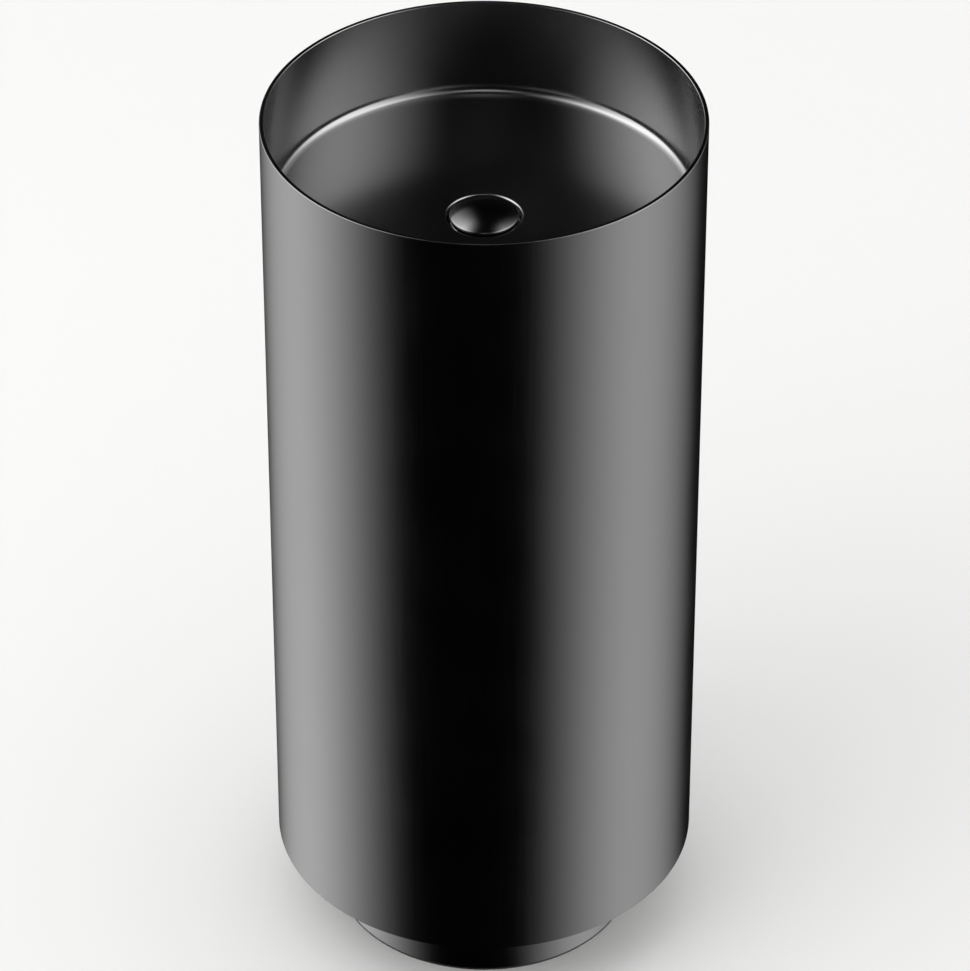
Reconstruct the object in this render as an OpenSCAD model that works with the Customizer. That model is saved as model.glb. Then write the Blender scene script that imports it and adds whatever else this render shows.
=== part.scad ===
// Round pedestal wash basin in brushed dark steel: a plain upright cylinder on a recessed plinth, with an
// inset basin, a domed click plug in a sunk drain, a bottle trap inside and a service hatch at the back.
// Millimetres, +Z up. The origin is on the floor under the centre of the cylinder and the front faces -Y.

/* [Shell] */
// Outside diameter of the cylinder
shell_d = 400; // [330:1:480]
// Height of the rim above the floor
total_h = 880; // [730:1:1060]
// Thickness of the shell's rolled sheet
shell_t = 2; // [1.5:0.1:3]
// Radius of the dressed edge on each side of the rim
rim_round = 0.7; // [0.3:0.1:0.9]

/* [Plinth] */
// Outside diameter of the recessed plinth
plinth_d = 287; // [280:1:345]
// Height of the plinth, gasket included
plinth_h = 77; // [60:1:120]
// Wall of the plinth
plinth_t = 2; // [1.5:0.1:3]
// Width of the plinth's top flange, which the bolts pass through
plinth_flange_w = 21.5; // [20:0.5:26]
// Thickness of the plinth's top flange
plinth_flange_t = 3; // [2:0.5:5]
// Thickness of the plate that closes the shell's foot
base_t = 3; // [2:0.5:5]
// Number of bolts between plate and plinth
plinth_bolts_n = 6; // [4:1:10]
// Thickness of the gasket on the floor
gasket_t = 2; // [1:0.5:4]

/* [Floor ring] */
// Width of the floor ring's flat
floor_ring_w = 24; // [22:0.5:26]
// Thickness of the floor ring's flat and upstand
floor_ring_t = 4; // [3:0.5:6]
// Height of the floor ring's upstand
floor_ring_h = 34; // [30:1:40]
// Diameter of the floor anchor holes
anchor_hole_d = 9; // [7:0.5:11]
// Number of floor anchors
anchors_n = 4; // [3:1:8]
// Height of the screws that lock the plinth to the floor ring
lock_screw_z = 20; // [14:1:24]

/* [Basin] */
// Thickness of the basin's sheet
liner_t = 2; // [1.5:0.1:3]
// How far the basin wall leans in between rim and floor
wall_lean = 2; // [0:0.1:6]
// Depth of the drain's lip below the rim
basin_depth = 103.3; // [80:0.1:140]
// Fall of the floor from the wall to the drain's lip
floor_fall = 9.3; // [3:0.1:16]
// Radius between floor and wall
floor_round = 9; // [4:0.5:20]
// Radius on the underside of the drain's lip
lip_under_r = 0.6; // [0.2:0.1:2]
// Depth of the drain pocket below its lip
pocket_depth = 8; // [6.5:0.1:10]
// Thickness of the sound deadening pad under the floor
pad_t = 3; // [2:0.5:6]
// Bare margin between the pad and the round of the floor
pad_margin = 40; // [10:1:45]

/* [Plug and waste] */
// Diameter of the domed plug
plug_d = 63.4; // [56:0.1:76]
// Width of the gap between the plug and the wall of its pocket
plug_gap = 1.8; // [1.5:0.05:5]
// Height of the dome above the middle of the plug's edge
dome_h = 8.5; // [5:0.1:11]
// Radius of the plug's rounded edge
plug_edge_r = 1.6; // [1.2:0.1:2]
// Travel of the plug between closed and open
plug_travel = 9; // [5:0.1:11]
// Outside diameter of the waste's thread
waste_thread_d = 41.9; // [40:0.1:50]
// Wall of the waste
waste_wall = 3.45; // [2.5:0.05:3.5]
// Length of the waste below its flange
waste_len = 66; // [62:1:90]
// Width of the gap between the waste and the hole in the basin
waste_hole_gap = 1.55; // [0.5:0.05:2]
// Diameter of the click cartridge
cartridge_d = 17; // [16:0.1:20]
// Diameter of the plug's spindle
spindle_d = 8; // [6.6:0.1:8.6]

/* [Trap and outlet] */
// Outside diameter of the waste pipes
pipe_d = 32; // [28:0.1:38.5]
// Wall of the waste pipes
pipe_t = 1.5; // [1:0.25:2]
// Length of pipe between the waste and the trap's neck
tail_run = 60; // [45:1:75]
// Outside diameter of the trap
trap_d = 60; // [56:1:64]
// Height of the trap's body
trap_body_h = 56; // [50:1:70]
// Height of the trap's cup
cup_h = 66; // [50:1:80]
// Bend radius of the outlet pipe
bend_r = 35; // [26:1:35]
// Height of the floor connector above the floor
connector_z = 4; // [2:0.5:8]
// Gap between the floor connector and the plinth's inner edges
connector_gap = 9; // [3:0.5:9]

/* [Service hatch] */
// Width of the hatch opening
hatch_w = 240; // [160:1:290]
// Height of the hatch opening
hatch_h = 330; // [220:1:340]
// Distance of the opening's upper edge below the rim
hatch_drop = 170; // [150:1:180]
// Corner radius of the opening
hatch_corner = 16; // [15:0.5:25]
// Gap round the hatch panel
hatch_gap = 1.2; // [0.6:0.1:2]
// Width of the ledge that the panel closes on
ledge_w = 13; // [12:0.5:14]
// Width of the frame welded behind the shell
frame_border = 14; // [8:0.5:16]
// Thickness of the foam between panel and ledge
foam_t = 2; // [1.5:0.1:3]

/* [Clearances] */
// Gap between pieces that move past each other
run_gap = 0.3; // [0.3:0.05:0.5]
// Gap between a thread and what it screws into
thread_gap = 0.05; // [0.03:0.01:0.1]
// Gap between a pipe and what it passes through
pipe_gap = 0.3; // [0.2:0.05:0.5]
// Gap between the plinth and the floor ring inside it
ring_gap = 1; // [0.5:0.1:2]

/* [Hidden] */
$fn = 144;
fn_small = 48;
arc_steps = 24;
// Overshoot of a cutter past the face it cuts
cut = 1;

GUNMETAL = [0.20, 0.20, 0.21];
STEEL = [0.62, 0.63, 0.65];
BRASS = [0.72, 0.60, 0.36];
RUBBER = [0.08, 0.08, 0.08];
WHITE_PLASTIC = [0.88, 0.88, 0.86];
GREY_PLASTIC = [0.55, 0.56, 0.58];

// Shell and basin
shell_r = shell_d / 2;
shell_in_r = shell_r - shell_t;
lean_angle = atan(wall_lean / (basin_depth - floor_fall));
rim_in_r = shell_in_r - liner_t / cos(lean_angle);
rim_edge_r = min(rim_round, shell_t / 2, liner_t / 2);
pocket_r = plug_d / 2 + plug_gap;
pocket_corner = 1.5;
// Film of glue between the basin's floor and the pad under it
pad_film_t = 0.1;
lip_round = liner_t + lip_under_r;
lip_z = total_h - basin_depth;
pocket_z = lip_z - pocket_depth;
fall_angle = atan(floor_fall / (rim_in_r - wall_lean - pocket_r));
// Centre of the round between floor and wall, which lies floor_round inside both lines
wall_shift = rim_in_r - floor_round / cos(lean_angle);
floor_shift = lip_z + floor_round / cos(fall_angle);
bowl_c_r = (wall_shift - (total_h - floor_shift) * tan(lean_angle)
            - pocket_r * tan(fall_angle) * tan(lean_angle)) / (1 - tan(fall_angle) * tan(lean_angle));
bowl_c_z = floor_shift + (bowl_c_r - pocket_r) * tan(fall_angle);
// Centre of the round on the drain's lip, inside the sheet
lip_c_r = pocket_r + lip_round;
lip_c_z = lip_z + lip_round * tan(fall_angle) - lip_round / cos(fall_angle);
// Centre of the dressed edge between rim and basin wall
edge_c_r = rim_in_r + rim_edge_r * (1 / cos(lean_angle) - tan(lean_angle));
edge_c_z = total_h - rim_edge_r;

// Plinth and its bolts
plinth_r = plinth_d / 2;
plinth_in_r = plinth_r - plinth_t;
flange_in_r = plinth_r - plinth_flange_w;
bolt_r = 3;
bolt_hole_r = bolt_r + 0.3;
bolt_head_r = 5.8;
bolt_head_h = 4;
nut_h = 5;
washer_r = 6.2;
washer_t = 1.2;
bolt_tail = 2;
bolt_circle_r = (flange_in_r + plinth_in_r) / 2;
base_top_z = plinth_h + base_t;
flange_z = plinth_h - plinth_flange_t;

// Floor ring and its screws
floor_ring_r = plinth_in_r - ring_gap;
floor_ring_in_r = floor_ring_r - floor_ring_w;
anchor_circle_r = (floor_ring_in_r + floor_ring_r - floor_ring_t) / 2;
gasket_lap = 0.5;
lock_screw_r = 2.5;
lock_hole_r = lock_screw_r + 0.25;
lock_head_r = 4.7;
lock_head_h = 2.6;
lock_key_r = 1.6;
lock_screw_len = plinth_t + ring_gap + floor_ring_t + 5;
lock_angles = [30, 90, 150];

// Waste
waste_r = waste_thread_d / 2;
waste_bore_r = waste_r - waste_wall;
waste_hole_r = waste_r + waste_hole_gap;
waste_flange_gap = 1.15;
waste_flange_r = pocket_r - pocket_corner - waste_flange_gap;
waste_flange_t = 2;
waste_flange_edge = 0.8;
waste_seal_t = 1.5;
waste_top_z = pocket_z + waste_seal_t;
seat_z = waste_top_z + waste_flange_t;
seat_taper = 3;
waste_z = waste_top_z - waste_len;
lower_washer_t = 3;
slip_washer_t = 1.2;
backnut_h = 8;
hex_wall = 8;
clamp_ring_r = waste_flange_r - 2;
lower_washer_z = pocket_z - liner_t - lower_washer_t;
slip_washer_z = lower_washer_z - slip_washer_t;
backnut_z = slip_washer_z - backnut_h;

// Click mechanism, from the web of the waste upwards
cartridge_r = cartridge_d / 2;
cartridge_in_r = cartridge_r - 2.5;
cartridge_floor = 2;
hub_wall = 2.5;
web_t = 2.5;
web_h = 10;
web_ribs = 4;
web_z = waste_z + 18;
shoulder_h = 2;
shoulder_r = cartridge_r + 1.5;
gland_h = 5;
spring_z = web_z + cartridge_floor;
spring_space = 13;
rotor_z = spring_z + spring_space;
rotor_h = 7.5;
rotor_bore_r = 2.7;
rotor_core_r = cartridge_in_r - 1.2;
rotor_lug_w = 2;
rotor_lugs = 4;
spindle_r = spindle_d / 2;
spindle_pin_r = rotor_bore_r - run_gap;
spindle_pin_tail = 1.5;
spindle_thread_r = 3;
collar_z = rotor_z + rotor_h + run_gap;
gland_z = collar_z + plug_travel + 2.5;
spring_wire_r = 0.45;
spring_coil_r = cartridge_in_r - spring_wire_r - 0.6;
spring_turns = 6;
spring_steps = 16;
spring_sides = 6;

// Plug. The dome's sphere meets the rounded edge without a step
plug_r = plug_d / 2;
plug_edge_c = plug_r - plug_edge_r;
plug_edge_z = lip_z + 0.3;
plug_under_z = plug_edge_z - plug_edge_r;
dome_rise = dome_h - plug_edge_r;
dome_drop = (pow(plug_edge_c, 2) - pow(dome_rise, 2)) / (2 * dome_rise);
dome_r = dome_h + dome_drop;
plug_recess = 3;
plug_recess_r = plug_edge_c - 3;
boss_r = 6.5;
boss_drop = 6;
boss_top_wall = 1.5;
boss_z = plug_under_z - boss_drop;
boss_hole_z = plug_under_z + plug_recess - boss_top_wall;
seal_w = 5;

// Tailpiece and trap
pipe_r = pipe_d / 2;
pipe_in_r = pipe_r - pipe_t;
flat_washer_t = 2;
pipe_flange_t = 2;
pipe_flange_r = waste_r - 0.4;
nut_grip = 12;
nut_lip = 3;
tail_flange_z = waste_z - flat_washer_t - pipe_flange_t;
neck_r = pipe_r + 4;
neck_h = 18;
cone_washer_t = 3;
cone_washer_r = neck_r - 0.4;
neck_z = tail_flange_z - tail_run;
trap_top_z = neck_z - neck_h;
trap_z = trap_top_z - trap_body_h;
trap_r = trap_d / 2;
trap_wall = 3;
skirt_h = 14;
skirt_r = trap_r - trap_wall - run_gap;
outlet_z = trap_z + trap_body_h / 2 + 4;
cup_seal_t = 2;
cup_top_z = trap_z - cup_seal_t - run_gap;
cup_z = cup_top_z - cup_h;
cup_floor = 4;
cup_ribs = 16;
cup_rib_r = 1.5;
cup_rib_margin = 8;
cup_hex_r = 14;
cup_hex_h = 8;
dip_depth = 36;

// Outlet pipe and floor connector
spigot_r = pipe_r + 4;
spigot_t = 2;
spigot_h = 40;
socket_r = spigot_r + 2.5;
socket_h = 20;
socket_z = connector_z + spigot_h;
socket_floor = 2;
outlet_seal_h = 12;
pipe_end_z = connector_z + 24;
outlet_run = min(flange_in_r, floor_ring_in_r) - socket_r - connector_gap;
bend_start = outlet_run - bend_r;
trap_nut_gap = 1;
outlet_neck = trap_r + trap_nut_gap + nut_grip;
pipe_entry = 8;

// Hatch
hatch_top_z = total_h - hatch_drop;
hatch_mid_z = hatch_top_z - hatch_h / 2;
frame_t = 2;
foam_out_r = shell_in_r - run_gap;
foam_in_r = shell_in_r - foam_t;
ledge_in_r = foam_in_r - frame_t;
rebate_gap = 1;
foam_inset = 1.5;
hatch_screw_r = 2;
hatch_head_r = 4;
hatch_head_h = 2;
hatch_head_sink = 0.2;
hatch_slot_w = 1;
hatch_slot_h = 0.8;
hatch_screw_tail = 12;
rivet_r = hatch_screw_r + run_gap + 0.9;
rivet_bulge_r = rivet_r + 1.2;
rivet_bulge_h = 5;
rivet_len = 9;
hatch_screw_reach = hatch_h / 2 - ledge_w / 2;

// Flat ring between two radii, its underside at height z
module ring(outer_r, inner_r, z, h) {
    translate([0, 0, z])
        difference() {
            cylinder(r = outer_r, h = h);
            translate([0, 0, -cut]) cylinder(r = inner_r, h = h + 2 * cut);
        }
}

// Copies of a child, evenly spaced round the axis
module around(count, radius, turn = 0) {
    for (i = [0:count - 1])
        rotate(360 / count * i + turn) translate([radius, 0, 0]) children();
}

// Union nut: a hexagon with a threaded bore from below and a narrower lip on top
module union_nut(thread_r, thread_h, lip_r) {
    difference() {
        cylinder(r = thread_r + hex_wall, h = thread_h + nut_lip, $fn = 6);
        translate([0, 0, -cut]) cylinder(r = thread_r + thread_gap, h = thread_h + cut);
        cylinder(r = lip_r, h = thread_h + nut_lip + cut);
    }
}

// Points along an arc between two angles
function arc(centre, r, from, to) =
    [for (i = [0:arc_steps]) centre + r * [cos(from + (to - from) * i / arc_steps),
                                           sin(from + (to - from) * i / arc_steps)]];

// Points in reverse order
function reversed(points) = [for (i = [len(points) - 1:-1:0]) points[i]];

// One face of the basin's sheet from its wall to the waste hole, t below the face that holds the water
function basin_face(t) = concat(
    arc([bowl_c_r, bowl_c_z], floor_round + t, -lean_angle, fall_angle - 90),
    arc([lip_c_r, lip_c_z], lip_round - t, 90 + fall_angle, 180),
    arc([pocket_r - pocket_corner, pocket_z + pocket_corner], pocket_corner + t, 0, -90),
    [[waste_hole_r, pocket_z - t]]);

module outer_shell() {
    color(GUNMETAL)
        difference() {
            rotate_extrude() {
                translate([shell_in_r, plinth_h]) square([shell_t, edge_c_z - plinth_h]);
                translate([shell_in_r, plinth_h]) square([shell_t - rim_edge_r, total_h - plinth_h]);
                translate([shell_r - rim_edge_r, edge_c_z]) circle(r = rim_edge_r, $fn = fn_small);
            }
            hatch_prism(0, shell_in_r / 2, shell_r + cut);
        }
}

module basin_liner() {
    color(GUNMETAL)
        rotate_extrude()
            polygon(concat([[shell_in_r, total_h]],
                           arc([edge_c_r, edge_c_z], rim_edge_r, 90, 180 - lean_angle),
                           basin_face(0),
                           reversed(basin_face(liner_t))));
}

module damping_pad() {
    inner_r = pocket_r + pad_margin / 2;
    outer_r = bowl_c_r - pad_margin;
    under_z = lip_z - (liner_t + pad_film_t) / cos(fall_angle) - pocket_r * tan(fall_angle);
    color(RUBBER)
        rotate_extrude()
            polygon([[inner_r, under_z + inner_r * tan(fall_angle)],
                     [outer_r, under_z + outer_r * tan(fall_angle)],
                     [outer_r, under_z + outer_r * tan(fall_angle) - pad_t],
                     [inner_r, under_z + inner_r * tan(fall_angle) - pad_t]]);
}

module bolt_holes(z, h) {
    translate([0, 0, z])
        around(plinth_bolts_n, bolt_circle_r) cylinder(r = bolt_hole_r, h = h, $fn = fn_small);
}

module base_plate() {
    color(GUNMETAL)
        difference() {
            ring(shell_in_r, flange_in_r, plinth_h, base_t);
            bolt_holes(plinth_h - cut, base_t + 2 * cut);
        }
}

module plinth_ring() {
    color(GUNMETAL)
        difference() {
            union() {
                ring(plinth_r, plinth_in_r, gasket_t, plinth_h - gasket_t);
                ring(plinth_r, flange_in_r, flange_z, plinth_flange_t);
            }
            bolt_holes(flange_z - cut, plinth_flange_t + 2 * cut);
            lock_places(plinth_in_r - cut)
                cylinder(r = lock_hole_r, h = plinth_t + 2 * cut, $fn = fn_small);
        }
}

module plinth_bolts() {
    head_z = base_top_z + washer_t;
    tip_z = flange_z - washer_t - nut_h - bolt_tail;
    color(STEEL)
        around(plinth_bolts_n, bolt_circle_r) {
            translate([0, 0, head_z]) cylinder(r = bolt_head_r, h = bolt_head_h, $fn = 6);
            translate([0, 0, tip_z]) cylinder(r = bolt_r, h = head_z - tip_z + cut, $fn = fn_small);
        }
}

module plinth_washers() {
    color(STEEL)
        around(plinth_bolts_n, bolt_circle_r)
            for (z = [base_top_z, flange_z - washer_t])
                ring(washer_r, bolt_hole_r, z, washer_t, $fn = fn_small);
}

module plinth_nuts() {
    color(STEEL)
        around(plinth_bolts_n, bolt_circle_r)
            translate([0, 0, flange_z - washer_t - nut_h])
                difference() {
                    cylinder(r = bolt_head_r, h = nut_h, $fn = 6);
                    translate([0, 0, -cut])
                        cylinder(r = bolt_r + thread_gap, h = nut_h + 2 * cut, $fn = fn_small);
                }
}

module floor_gasket() {
    color(RUBBER) ring(plinth_r, plinth_in_r - gasket_lap, 0, gasket_t);
}

// Places of the screws that go through the plinth into the floor ring, pointing outwards from radius r
module lock_places(r) {
    for (a = lock_angles)
        rotate(a) translate([r, 0, lock_screw_z]) rotate([0, 90, 0]) children();
}

module floor_ring() {
    color(STEEL)
        difference() {
            union() {
                ring(floor_ring_r, floor_ring_in_r, 0, floor_ring_t);
                ring(floor_ring_r, floor_ring_r - floor_ring_t, 0, floor_ring_h);
            }
            translate([0, 0, -cut])
                around(anchors_n, anchor_circle_r, 180 / anchors_n)
                    cylinder(r = anchor_hole_d / 2, h = floor_ring_t + 2 * cut, $fn = fn_small);
            lock_places(floor_ring_r - floor_ring_t - cut)
                cylinder(r = lock_screw_r + thread_gap, h = floor_ring_t + 2 * cut, $fn = fn_small);
        }
}

module plinth_screws() {
    color(STEEL)
        lock_places(plinth_r)
            difference() {
                union() {
                    cylinder(r = lock_head_r, h = lock_head_h, $fn = fn_small);
                    translate([0, 0, -lock_screw_len])
                        cylinder(r = lock_screw_r, h = lock_screw_len + cut, $fn = fn_small);
                }
                translate([0, 0, lock_head_h / 2]) cylinder(r = lock_key_r, h = lock_head_h, $fn = 6);
            }
}

// Rounded outline of the hatch opening, grown by a positive margin or shrunk by a negative one
module hatch_outline(margin) {
    w = hatch_w + 2 * margin;
    h = hatch_h + 2 * margin;
    r = hatch_corner + margin;
    square([w - 2 * r, h], center = true);
    square([w, h - 2 * r], center = true);
    for (x = [-1, 1], z = [-1, 1])
        translate([x * (w / 2 - r), z * (h / 2 - r)]) circle(r = r, $fn = fn_small);
}

// The hatch outline as a prism that runs along +Y from one distance to another
module hatch_prism(margin, from_y, to_y) {
    translate([0, to_y, hatch_mid_z])
        rotate([90, 0, 0]) linear_extrude(to_y - from_y) hatch_outline(margin);
}

// Curved plate between two radii within the hatch outline
module hatch_plate(outer_r, inner_r, margin) {
    intersection() {
        ring(outer_r, inner_r, hatch_mid_z - hatch_h, 2 * hatch_h);
        hatch_prism(margin, inner_r / 4, outer_r + cut);
    }
}

// Places of the two hatch screws, pointing out of the back from distance y
module hatch_screw_places(y) {
    for (side = [-1, 1])
        translate([0, y, hatch_mid_z + side * hatch_screw_reach]) rotate([-90, 0, 0]) children();
}

module hatch_frame() {
    color(GUNMETAL)
        difference() {
            hatch_plate(shell_in_r, ledge_in_r, frame_border);
            hatch_prism(-ledge_w, ledge_in_r / 4, shell_r);
            intersection() {
                ring(shell_r, foam_in_r, hatch_mid_z - hatch_h, 2 * hatch_h);
                hatch_prism(rebate_gap, ledge_in_r / 4, shell_r + cut);
            }
            hatch_screw_places(ledge_in_r - cut)
                cylinder(r = rivet_r + thread_gap, h = frame_t + 2 * cut, $fn = fn_small);
        }
}

module hatch_gasket() {
    color(RUBBER)
        difference() {
            hatch_plate(foam_out_r, foam_in_r, -foam_inset);
            hatch_prism(foam_inset - ledge_w, foam_in_r / 4, shell_r);
            hatch_screw_places(foam_in_r - cut)
                cylinder(r = rivet_r + thread_gap, h = foam_t + 2 * cut, $fn = fn_small);
        }
}

module hatch_nuts() {
    color(STEEL)
        hatch_screw_places(foam_in_r - rivet_len)
            difference() {
                union() {
                    cylinder(r = rivet_r, h = rivet_len, $fn = fn_small);
                    translate([0, 0, rivet_len - frame_t - rivet_bulge_h - run_gap])
                        cylinder(r = rivet_bulge_r, h = rivet_bulge_h, $fn = fn_small);
                }
                translate([0, 0, -cut])
                    cylinder(r = hatch_screw_r + run_gap, h = rivet_len + 2 * cut, $fn = fn_small);
            }
}

module hatch_panel() {
    sink_z = shell_r - hatch_head_sink - hatch_head_h;
    color(GUNMETAL)
        difference() {
            hatch_plate(shell_r, shell_in_r, -hatch_gap);
            hatch_screw_places(sink_z)
                translate([0, 0, -cut])
                    cylinder(r = hatch_screw_r + thread_gap, h = hatch_head_h + cut, $fn = fn_small);
            hatch_screw_places(sink_z)
                cylinder(r1 = hatch_screw_r + thread_gap, r2 = hatch_head_r + thread_gap, h = hatch_head_h,
                         $fn = fn_small);
            hatch_screw_places(sink_z + hatch_head_h)
                cylinder(r = hatch_head_r + thread_gap, h = cut, $fn = fn_small);
        }
}

module hatch_screws() {
    color(STEEL)
        hatch_screw_places(shell_r - hatch_head_sink - hatch_head_h)
            difference() {
                union() {
                    cylinder(r1 = hatch_screw_r, r2 = hatch_head_r, h = hatch_head_h, $fn = fn_small);
                    translate([0, 0, -hatch_screw_tail])
                        cylinder(r = hatch_screw_r, h = hatch_screw_tail + cut, $fn = fn_small);
                }
                translate([-hatch_head_r - cut, -hatch_slot_w / 2, hatch_head_h - hatch_slot_h])
                    cube([2 * hatch_head_r + 2 * cut, hatch_slot_w, hatch_slot_h + cut]);
            }
}

module waste_body() {
    color(STEEL)
        difference() {
            union() {
                rotate_extrude()
                    difference() {
                        union() {
                            translate([0, waste_z]) square([waste_r, seat_z - waste_z]);
                            translate([0, waste_top_z])
                                square([waste_flange_r - waste_flange_edge, waste_flange_t]);
                            translate([0, waste_top_z])
                                square([waste_flange_r, waste_flange_t - waste_flange_edge]);
                            translate([waste_flange_r - waste_flange_edge, seat_z - waste_flange_edge])
                                circle(r = waste_flange_edge, $fn = fn_small);
                        }
                        translate([-cut, waste_z - cut])
                            square([waste_bore_r + cut, seat_z - waste_z + 2 * cut]);
                        polygon([[0, seat_z - seat_taper],
                                 [waste_bore_r, seat_z - seat_taper],
                                 [waste_bore_r + seat_taper + cut, seat_z + cut],
                                 [0, seat_z + cut]]);
                    }
                translate([0, 0, web_z]) {
                    cylinder(r = cartridge_r + hub_wall, h = web_h);
                    around(web_ribs, 0)
                        translate([0, -web_t / 2, 0]) cube([waste_r - waste_wall / 2, web_t, web_h]);
                }
            }
            translate([0, 0, web_z - cut]) cylinder(r = cartridge_r + thread_gap, h = web_h + 2 * cut);
        }
}

module waste_seal() {
    color(RUBBER) ring(clamp_ring_r, waste_hole_r, pocket_z, waste_seal_t);
}

module waste_lower_washer() {
    color(RUBBER) ring(clamp_ring_r, waste_r + thread_gap, lower_washer_z, lower_washer_t);
}

module waste_slip_washer() {
    color(WHITE_PLASTIC) ring(clamp_ring_r, waste_r + thread_gap, slip_washer_z, slip_washer_t);
}

module waste_backnut() {
    color(BRASS)
        translate([0, 0, backnut_z])
            difference() {
                cylinder(r = waste_r + hex_wall, h = backnut_h, $fn = 6);
                translate([0, 0, -cut]) cylinder(r = waste_r + thread_gap, h = backnut_h + 2 * cut);
            }
}

module click_cartridge() {
    color(BRASS)
        difference() {
            union() {
                translate([0, 0, web_z]) cylinder(r = cartridge_r, h = gland_z - web_z, $fn = fn_small);
                translate([0, 0, web_z + web_h]) cylinder(r = shoulder_r, h = shoulder_h, $fn = fn_small);
            }
            translate([0, 0, spring_z])
                cylinder(r = cartridge_in_r, h = gland_z - spring_z + cut, $fn = fn_small);
        }
}

module cartridge_gland() {
    color(BRASS)
        translate([0, 0, gland_z])
            difference() {
                cylinder(r = cartridge_r + 1, h = gland_h, $fn = 6);
                translate([0, 0, -cut])
                    cylinder(r = spindle_r + run_gap, h = gland_h + 2 * cut, $fn = fn_small);
            }
}

module latch_rotor() {
    lug_r = cartridge_in_r - run_gap;
    color(WHITE_PLASTIC)
        translate([0, 0, rotor_z])
            difference() {
                union() {
                    cylinder(r = rotor_core_r, h = rotor_h, $fn = fn_small);
                    around(rotor_lugs, 0)
                        translate([0, -rotor_lug_w / 2, 0])
                            intersection() {
                                cube([lug_r, rotor_lug_w, rotor_h / 2]);
                                translate([0, rotor_lug_w / 2, -cut])
                                    cylinder(r = lug_r, h = rotor_h, $fn = fn_small);
                            }
                }
                translate([0, 0, -cut]) cylinder(r = rotor_bore_r, h = rotor_h + 2 * cut, $fn = fn_small);
            }
}

// Round wire wound into a coil, as rings of points joined along the helix
module return_spring() {
    foot_z = spring_z + spring_wire_r;
    rise = spring_space - 2 * spring_wire_r - run_gap;
    rings = spring_turns * spring_steps;
    points = [for (i = [0:rings], j = [0:spring_sides - 1])
        let (turn = 360 * i / spring_steps,
             side = 360 * j / spring_sides,
             r = spring_coil_r + spring_wire_r * cos(side))
        [r * cos(turn), r * sin(turn), foot_z + rise * i / rings + spring_wire_r * sin(side)]];
    skin = [for (i = [0:rings - 1], j = [0:spring_sides - 1])
        let (next = (j + 1) % spring_sides)
        [i * spring_sides + j, (i + 1) * spring_sides + j,
         (i + 1) * spring_sides + next, i * spring_sides + next]];
    first_end = [for (j = [0:spring_sides - 1]) j];
    last_end = [for (j = [spring_sides - 1:-1:0]) rings * spring_sides + j];
    color(STEEL) polyhedron(points, concat(skin, [first_end], [last_end]), convexity = 10);
}

module plug_spindle() {
    collar_top_z = boss_z - run_gap;
    pin_z = rotor_z - spindle_pin_tail;
    color(STEEL) {
        translate([0, 0, pin_z]) cylinder(r = spindle_pin_r, h = collar_z - pin_z + cut, $fn = fn_small);
        translate([0, 0, collar_z]) cylinder(r = spindle_r, h = collar_top_z - collar_z, $fn = fn_small);
        translate([0, 0, collar_top_z - cut])
            cylinder(r = spindle_thread_r, h = boss_hole_z - run_gap - collar_top_z + cut, $fn = fn_small);
    }
}

module plug_cap() {
    color(GUNMETAL)
        rotate_extrude()
            difference() {
                union() {
                    intersection() {
                        translate([0, plug_edge_z - dome_drop]) circle(r = dome_r);
                        polygon([[0, plug_under_z],
                                 [plug_edge_c, plug_under_z],
                                 [plug_edge_c, plug_edge_z],
                                 [2 * plug_edge_c, plug_edge_z + dome_drop],
                                 [0, plug_edge_z + dome_drop]]);
                    }
                    intersection() {
                        translate([plug_edge_c, plug_edge_z]) circle(r = plug_edge_r, $fn = fn_small);
                        translate([plug_edge_c, plug_under_z]) square([2 * plug_edge_r, 2 * plug_edge_r]);
                    }
                    translate([0, boss_z]) square([boss_r, boss_drop + plug_recess]);
                }
                translate([boss_r, plug_under_z - cut])
                    square([plug_recess_r - boss_r, plug_recess + cut]);
                translate([-cut, boss_z - cut])
                    square([spindle_thread_r + run_gap + cut, boss_hole_z - boss_z + cut]);
            }
}

module plug_seal() {
    foot_z = seat_z + run_gap;
    color(RUBBER) ring(plug_recess_r, plug_recess_r - seal_w, foot_z, plug_under_z + plug_recess - foot_z);
}

module tailpiece() {
    dip_z = trap_z - dip_depth;
    color(WHITE_PLASTIC) {
        ring(pipe_r, pipe_in_r, dip_z, tail_flange_z + pipe_flange_t - dip_z);
        ring(pipe_flange_r, pipe_in_r, tail_flange_z, pipe_flange_t);
    }
}

module tailpiece_washer() {
    color(RUBBER) ring(pipe_flange_r, waste_bore_r, tail_flange_z + pipe_flange_t, flat_washer_t);
}

module tailpiece_nut() {
    color(GREY_PLASTIC)
        translate([0, 0, waste_z + nut_grip])
            mirror([0, 0, 1])
                union_nut(waste_r, nut_grip + flat_washer_t + pipe_flange_t, pipe_r + pipe_gap);
}

module trap_body() {
    color(WHITE_PLASTIC)
        difference() {
            union() {
                translate([0, 0, trap_z]) cylinder(r = trap_r, h = trap_body_h);
                translate([0, 0, trap_z - skirt_h]) cylinder(r = skirt_r, h = skirt_h + cut);
                translate([0, 0, trap_top_z - cut]) cylinder(r = neck_r, h = neck_h + cut);
                translate([0, 0, outlet_z]) rotate([90, 0, 0]) cylinder(r = neck_r, h = outlet_neck);
            }
            translate([0, 0, trap_z + trap_wall])
                cylinder(r = trap_r - trap_wall, h = trap_body_h - 2 * trap_wall);
            translate([0, 0, trap_z - skirt_h - cut])
                cylinder(r = skirt_r - trap_wall, h = skirt_h + trap_wall + 2 * cut);
            translate([0, 0, trap_top_z - trap_wall - cut])
                cylinder(r = pipe_r + pipe_gap, h = neck_h + trap_wall + 2 * cut);
            translate([0, 0, outlet_z])
                rotate([90, 0, 0]) cylinder(r = pipe_r + pipe_gap, h = outlet_neck + cut);
        }
}

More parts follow.
